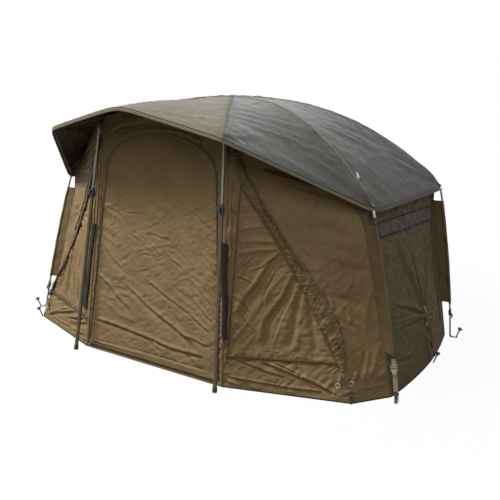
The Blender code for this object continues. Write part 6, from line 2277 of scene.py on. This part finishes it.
@dataclass
class CornerBar:
    """A corner tension bar: its fitting under the eave, fabric sleeve, rod end, webbing, loop and buckle."""

    corner: Corner
    side: Side
    sleeve_top: float = 0.82
    sleeve_foot: float = 0.215
    bar_foot: float = 0.205
    radius: float = 0.0082
    strap: float = 0.022

    @property
    def label(self) -> str:
        """The corner's words in the names of its pieces."""
        return f"{self.corner.value}_{self.side.label}"

    @property
    def axes(self) -> tuple[Array, Array, Array, Array]:
        """Where the strap leaves the rod, and the directions up it, away from the wall, and across it.

        Returns:
            The place and the three directions.
        """
        low, high = LINES.on_bar(self.corner, 0.0045), LINES.on_bar(self.corner, self.bar_foot - 0.01)
        along = unit(high - low)
        face = square_to(LINES.outward(self.corner), along)
        return high, along, face, np.cross(along, face)

    def of(self, finish: Finish, slot: str = "fittings", moves: bool = False) -> Make:
        """A finish for one of this corner's pieces, which may move with the buckle."""
        return Make(finish, slot, f"buckle_{self.label}" if moves else ROOT, self.side)

    def build(self) -> None:
        """Makes every piece of the corner."""
        self.sleeve()
        self.binding()
        self.rod()
        self.webbing()
        self.buckle()

    def sleeve(self) -> None:
        """The fabric sleeve round the bar, joined to the walls' corner seam by its web."""
        heights = np.linspace(self.sleeve_foot, self.sleeve_top, 90)
        turns = np.linspace(0.16, FULL_TURN - 0.16, 22)
        rows, outwards = [], []
        for height in map(float, heights):
            centre = LINES.on_bar(self.corner, height)
            seam = LINES.corner_seam(self.corner, min(height, 0.8))
            seam[2] = centre[2]
            reach = float(np.linalg.norm(seam - centre)) - 0.0006
            web = unit(seam - centre)
            below, above = (LINES.on_bar(self.corner, height + rise) for rise in (-0.03, 0.03))
            step = np.cross(unit(above - below), web)
            drape = 0.0016 * math.sin(height * 70.0) + 0.0012 * math.sin(height * 31.0 + 1.0)
            ring = [web * (self.radius * math.cos(turn)) + step * ((self.radius + 0.0016 * math.sin(
                height * 47.0 + turn * 2.0)) * math.sin(turn)) for turn in turns]
            sides = (1.0, np.linspace(1.0, 0.12, 9)), (-1.0, np.linspace(0.12, 1.0, 9))
            webs = [[web * lerp(self.radius, reach, share) + step * (hand * 0.0014 + drape * math.sin(math.pi * share))
                     for share in shares] for hand, shares in sides]
            rows.append(centre + np.array([*webs[0], *ring, *webs[1]]))
            outwards.append(np.array([*[np.zeros(3)] * 9, *ring, *[np.zeros(3)] * 9]))
        places = np.stack(rows)
        flat = paired(arc_lengths(places[30])[None, :], heights[:, None])
        relief = (Wrinkles(0.0005, 0.06, 0.02, 70.0, 111 + self.side.value),)
        panel = Panel(f"bar_sleeve_{self.label}", places, flat, np.stack(outwards), relief, (), 0.012)
        item = panel.build(Make(SHADED_SLEEVE_CLOTH, "side_cloth", ROOT, self.side, (SHADED_LINING,)), thickness=0.0008)
        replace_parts(item, f"corner_sleeve_{self.label}")
        panel.declare(item, "stretched", [f"bar_rod_{self.label}"])

    def binding(self) -> None:
        """The bound edge that joins the two walls down the corner."""
        heights = np.linspace(0.002, 0.788, 90)
        path = np.array([LINES.corner_seam(self.corner, float(height)) for height in heights]) + BACK * 0.0015
        sweep(f"corner_binding_{self.label}", path, LINES.outward(self.corner), round_outline(0.0042, 10),
              self.of(SHADED_SLEEVE_CLOTH, "side_cloth"))

    def rod(self) -> None:
        """The rod, its end cap below the sleeve, and the bright fitting that holds it under the rib's end."""
        top = LINES.bar_ends(self.corner)[1]
        heights = np.linspace(self.bar_foot, float(top[2]) - 0.028, 60)
        rod = sweep(f"bar_rod_{self.label}", LINES.on_bar(self.corner, heights), LINES.outward(self.corner),
                    round_outline(0.0048, 14), self.of(RIB_METAL, "rib_metal"))
        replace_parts(rod, f"corner_bar_{self.label}")
        low = LINES.on_bar(self.corner, self.bar_foot - 0.004)
        turned(f"bar_end_cap_{self.label}", low, LINES.on_bar(self.corner, self.bar_foot + 0.05),
               mm(0, 4, 1.5, 6, 20, 6.2, 22, 5.4, 24, 5), self.of(BLACK_PLASTIC), 24)
        head = LINES.on_bar(self.corner, float(top[2]) - 0.034)
        turned(f"bar_head_{self.label}", head, top, mm(0, 5.4, 2, 6.8, 8, 7, 8.6, 6, 20, 6, 21, 7.2, 31, 7.2, 33, 6),
               self.of(BRIGHT_FITTING), 28)
        along = unit(top - head)
        out = square_to(LINES.outward(self.corner), along)
        pin = head + along * 0.0255 - out * 0.01
        turned(f"bar_pin_{self.label}", pin, pin + out,
               mm(0, 3, 1, 3.6, 3, 3.6, 3.2, 2.2, 16.8, 2.2, 17, 3.6, 19, 3.6, 20, 2.8), self.of(BRIGHT_FITTING), 20)

    def webbing(self) -> None:
        """The strap from the rod's end down through the buckle and out to the peg, with a loop and a tail."""
        out = LINES.outward(self.corner)
        foot = LINES.bar_ends(self.corner)[0]
        # Pale at the right front, black elsewhere; at the left front the black is painted shade on a strap that is pale
        # like the right front's.
        finish = PALE_WEBBING if (self.corner, self.side) == (Corner.FRONT, Side.RIGHT) else BLACK_WEBBING
        line = LINES.on_bar(self.corner, np.linspace(0.2, 0.006, 40))
        bend = [foot + out * (0.003 + 0.006 * share) + UP * (0.004 - 0.0022 * share) for share in (0.0, 0.5, 1.0)]
        ground = [foot + out * reach + UP * 0.0018 for reach in (0.012, 0.0135, 0.015)]
        facing = [*[out] * len(line), *(unit(out * (1.0 - share) + UP * share) for share in (0.4, 0.7, 0.9)),
                  *[UP] * 3]
        half = self.strap / 2.0
        outline = [(-half, -0.0008), (half, -0.0008), (half, 0.0008), (-half, 0.0008)]
        sweep(f"strap_{self.label}", np.array([*line, *bend, *ground]), np.array(facing), outline,
              self.of(finish, "webbing"))
        centre, across = foot + out * 0.031 + UP * 0.0022, np.cross(out, UP)
        loop = np.array([centre + out * (0.013 * math.cos(turn)) + across * (0.0085 * math.sin(turn))
                         + UP * (0.003 * max(math.cos(turn), 0.0))
                         for turn in round_turns(40)])
        sweep(f"strap_loop_{self.label}", loop, UP, round_outline(0.0022, 8), self.of(BRIGHT_FITTING), True)
        high, along, face, _ = self.axes
        tail = np.array([high - along * (0.048 + 0.03 * share) + face * (0.006 + 0.007 * math.sin(2.6 * share))
                         for share in evenly(22)])
        sweep(f"strap_tail_{self.label}", tail, face, outline, self.of(finish, "webbing", True))

    def buckle(self) -> None:
        """The ladder-lock buckle: a frame with two openings, a raised bar and a lifting lip."""
        high, along, face, across = self.axes
        centre = high - along * 0.039
        # Grey at the right front, black elsewhere; at the left front the black is painted shade on that buckle.
        make = self.of(GREY_PLASTIC if (self.corner, self.side) == (Corner.FRONT, Side.RIGHT) else BLACK_PLASTIC,
                       moves=True)
        body = block(f"buckle_frame_{self.label}", centre, (across, along, face), (0.034, 0.03, 0.0062), make, 0.0012,
                     ((-0.0122, 0.0122, 0.0035, 0.0095), (-0.0122, 0.0122, -0.0085, -0.0015)))
        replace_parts(body, f"strap_buckle_{self.label}")
        lip = centre - along * 0.0135 + face * 0.004
        block(f"buckle_lip_{self.label}", lip, (across, unit(along - face * 0.35), unit(face + along * 0.35)),
              (0.03, 0.008, 0.0022), make, 0.0008)
        bar = np.array([centre + across * offset + along * 0.001 + face * 0.0036
                        for offset in np.linspace(-0.015, 0.015, 6)])
        sweep(f"buckle_bar_{self.label}", bar, face, round_outline(0.0021, 12), make)


@dataclass
class FrontPole:
    """A telescopic front pole: bright upper tube and head, clamp with its knob, brown lower tube and foot."""

    side: Side
    outer_length: float = 0.935
    head_profile: Array = field(default_factory=lambda: mm(
        0, 8.2, 1.5, 10.4, 10, 10.8, 11.2, 9.6, 18, 9.6, 19, 10.8, 35.5, 10.8, 39, 10, 45, 5.8, 48, 4))
    clamp_profile: Array = field(default_factory=lambda: mm(
        0, 10.4, 1.5, 12.4, 10, 13, 11, 12, 14.5, 12, 15.5, 14.2, 42, 14.4, 43, 13, 50, 12.6, 56, 11.2, 58, 8.6))
    foot_profile: Array = field(default_factory=lambda: mm(
        1.2, 11.2, 3.2, 12.6, 9, 12.9, 9.8, 11.8, 12, 11.8, 12.8, 12.9, 20, 12.8, 20.8, 11.7, 23, 11.7, 23.8, 12.6,
        28.5, 12.2, 30, 10.6))

    def build(self) -> None:
        """Makes both tubes and everything on them."""
        label = self.side.label
        foot, head = LINES.pole_ends()
        length, along = float(np.linalg.norm(head - foot)), unit(head - foot)
        body, join = f"pole_{label}", self.outer_length - 0.052
        start = join - 0.006
        black = Make(BLACK_PLASTIC, body=body, side=self.side)
        upper = Make(UPPER_TUBE, "pole_metal", side=self.side)
        lower = Make(LOWER_TUBE, "pole_metal", body, self.side)
        for name, make, low, profile, node in (
                ("upper", upper, 0.0, [(0.6, 0.0072), (length - 0.0452, 0.0072)], "pole_inner"),
                ("head", Make(BLACK_PLASTIC, side=self.side), length - 0.048, self.head_profile, ""),
                ("lower", lower, 0.0, [(0.026, 0.0103), (join, 0.0103)], "pole_outer"),
                ("clamp", black, start, self.clamp_profile, ""),
                ("foot", black, 0.0, self.foot_profile, "")):
            item = turned(f"pole_{name}_{label}", foot, head, [(low + at, radius) for at, radius in profile], make, 40)
            if node:
                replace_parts(item, f"{node}_{label}")
        seat = foot + along * (start + 0.029)
        axis = forward(unit(np.cross(along, OUT)))
        across = np.cross(along, axis)
        block(f"clamp_ears_{label}", seat + axis * 0.0118, (across, along, axis), (0.015, 0.023, 0.0085), black,
              0.0016)
        turned(f"clamp_screw_{label}", seat - across * 0.0122 + axis * 0.0118, seat + axis * 0.0118,
               mm(0, 2.6, 1.2, 3.4, 4.4, 3.4, 4.6, 2, 22, 2), Make(BRIGHT_FITTING, body=body, side=self.side), 20)
        self.knob(foot + along * (self.outer_length - 0.028) + axis * 0.0149, axis, across, along)

    def knob(self, seat: Array, axis: Array, across: Array, along: Array) -> None:
        """The six-lobed clamp knob, drawn as a stack of lobed sections, with a recessed face.

        Args:
            seat: middle of its inner face.
            axis: the direction it turns about, away from the pole.
            across: a direction square to that.
            along: the pole's direction.
        """
        turns = round_turns(72)
        lobes = 0.0016 * (0.5 - 0.5 * np.cos(6.0 * turns))
        sections = mm(0, 8.8, 1.2, 9.8, 3.6, 10.4, 4.2, 13, 5, 13.5, 14, 13.5, 15.4, 12.9, 16, 11.8, 16, 8.4, 15, 7.4,
                      15, 1)
        radius = (sections[:, 1:] - lobes[None] * (sections[:, 1:] / 0.0135) ** 3)[..., None]
        places = (seat + axis * sections[:, :1, None] + across * radius * np.cos(turns)[:, None]
                  + along * radius * np.sin(turns)[:, None])
        uv = paired(turns[None] * 0.0135, np.arange(len(sections))[:, None] * 0.002)
        label = self.side.label
        item = closed_mesh(f"clamp_knob_{label}", places, uv, Make(BLACK_PLASTIC, body=f"knob_{label}", side=self.side),
                           30.0)
        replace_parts(item, f"pole_knob_{label}")


@dataclass
class GroundPeg:
    """A steel ground peg with a moulded head: threaded shank, washer and T-shaped head."""

    kind: str
    side: Side

    def build(self) -> None:
        """Makes the shank and the head at the CAD peg's place."""
        label = f"{self.kind}_{self.side.label}"
        foot, rise = self.line()
        thread = [(0.0015 + turn * 0.0038 + step, radius) for turn in range(12)
                  for step, radius in mm(0, 3.4, 1.3, 4, 2.6, 3.4)]
        shank = [(0.0003, 0.003), *thread, *mm(49, 3.6, 50, 6, 58, 6.6, 60, 7)]
        for part, finish, profile in (
                ("shank", PEG_STEEL, shank),
                ("head", BLACK_PLASTIC, mm(59.6, 8.5, 60.4, 13.2, 62, 14, 65, 14, 66.8, 12.6, 67.4, 8, 68, 6.2)),
                ("button", PEG_STEEL, mm(66.2, 5.6, 67.6, 5.6, 68.2, 4.6))):
            slot = "fittings" if part == "head" else "peg_steel"
            item = turned(f"peg_{part}_{label}", foot, foot + rise, profile,
                          Make(finish, slot, f"peg_{label}_body", self.side), 28)
            if part == "shank":
                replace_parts(item, f"peg_{label}")

    def line(self) -> tuple[Array, Array]:
        """The peg's end on the ground and the direction in which it is drawn out.

        Returns:
            The place and the direction.
        """
        if self.kind == "corner":
            turn = math.radians(29.0)
            out, spot = np.array((math.sin(turn), -math.cos(turn), 0.0)), LINES.place(*LINES.corner_peg, 0.0)
        elif self.kind == "guy":
            out, spot = OUT, guy_hem() + OUT * 0.014
        else:
            corner = Corner(self.kind)
            out = LINES.outward(corner)
            spot = LINES.bar_ends(corner)[0] + out * 0.032
        lean = math.radians(20.0)
        rise = out * math.sin(lean) + UP * math.cos(lean)
        flat = 0.004 * math.cos(math.pi / 8)
        return spot + out * (flat * math.cos(lean) + 0.0003) + UP * (0.004 * math.sin(lean)), rise


def guy_hem() -> Array:
    """The hem of the side wall below the storm guy."""
    hem = lerp(LINES.corner_seam(Corner.FRONT, 0.0), LINES.corner_seam(Corner.REAR, 0.0), GUY_SHARE)
    return hem + OUT * (0.04 * 4.0 * GUY_SHARE * (1.0 - GUY_SHARE) + 0.006 * math.exp(-(0.25 / 0.22) ** 2))


@dataclass
class StormGuy:
    """The short cord from the side wall's pull to its peg, with a knot at each end, a toggle and a runner."""

    side: Side
    diameter: float = 0.003
    height: float = 0.24

    def build(self) -> None:
        """Ties the cord."""
        label = self.side.label
        head = LINES.side_head(np.array([GUY_SHARE]))[0]
        wall = LINES.side_wall(np.array([GUY_SHARE]), np.array([self.height / head[2]]))[0, 0]
        foot, rise = GroundPeg("guy", self.side).line()
        start, end = wall + OUT * 0.0019, foot + rise * 0.04 - OUT * (0.004 + 0.0015 + 0.0003)
        curve = bpy.data.curves.new(f"storm_cord_{label}", "CURVE")
        curve.dimensions, curve.use_fill_caps = "3D", True
        curve.bevel_depth, curve.bevel_resolution = self.diameter / 2.0, 3
        spline = curve.splines.new("POLY")
        spline.points.add(23)
        for index, corner in enumerate(spline.points):
            corner.co = (*mirrored(lerp(start, end, index / 23.0), self.side), 1.0)
        make = Make(GUY_CORD, "cord", side=self.side)
        curve.materials.append(make.materials()[0])
        cord = bpy.data.objects.new(f"storm_cord_{label}", curve)
        bpy.context.scene.collection.objects.link(cord)
        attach(cord, ROOT)
        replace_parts(cord, f"storm_guy_{label}")
        fine = unit(end - start)
        aside = np.cross(fine, BACK)
        for name, place, size in (("wall_knot", start + fine * 0.006, 1.0), ("peg_knot", end - fine * 0.005, 1.1)):
            coil = np.array([place + fine * (0.0016 * turn / FULL_TURN - 0.0024) * size
                             + (aside * math.cos(turn) + BACK * math.sin(turn)) * (0.0026 * size)
                             for turn in np.linspace(0.0, 18.0, 60)])
            sweep(f"{name}_{label}", coil, fine, round_outline(0.0012, 8), make)
        length = float(np.linalg.norm(end - start))
        for name, finish, place, size in (("wall_toggle", GREY_PLASTIC, 0.03, (0.01, 0.016, 0.01)),
                                          ("cord_runner", BLACK_PLASTIC, length * 0.68, (0.014, 0.024, 0.012))):
            block(f"{name}_{label}", start + fine * place, (BACK, fine, aside), size,
                                Make(finish, side=self.side), 0.0018)
        tuple(mirrored(start, self.side))
        LOG.info("cord %s: %.3f m", cord.name, length)


def main() -> None:
    """Builds the tent in order and logs each stage, each sheet and each cord."""
    logging.basicConfig(level=logging.INFO, format="%(name)s: %(message)s")
    Studio().build()
    LOG.info("studio set")
    for side in Side:
        StormGuy(side).build()
    LOG.info("storm guys tied")
    Canopy().build()
    FrameRods.build()
    LOG.info("roof and frame made")
    front = FrontWall()
    front.build()
    LOG.info("door and surround hung")
    for side in Side:
        Wing(side, front=front).build()
        SideWall(side).build()
        LOG.info("%s wing and side wall hung", side.label)
    BackWall().build()
    LOG.info("back wall hung")
    for side in Side:
        for corner in Corner:
            CornerBar(corner, side).build()
            EaveGusset(corner, side).build()
        FrontPole(side).build()
        for kind in ("corner", "front", "rear", "guy"):
            GroundPeg(kind, side).build()
        LOG.info("%s bars, pole and pegs set", side.label)


if __name__ == "__main__":
    main()
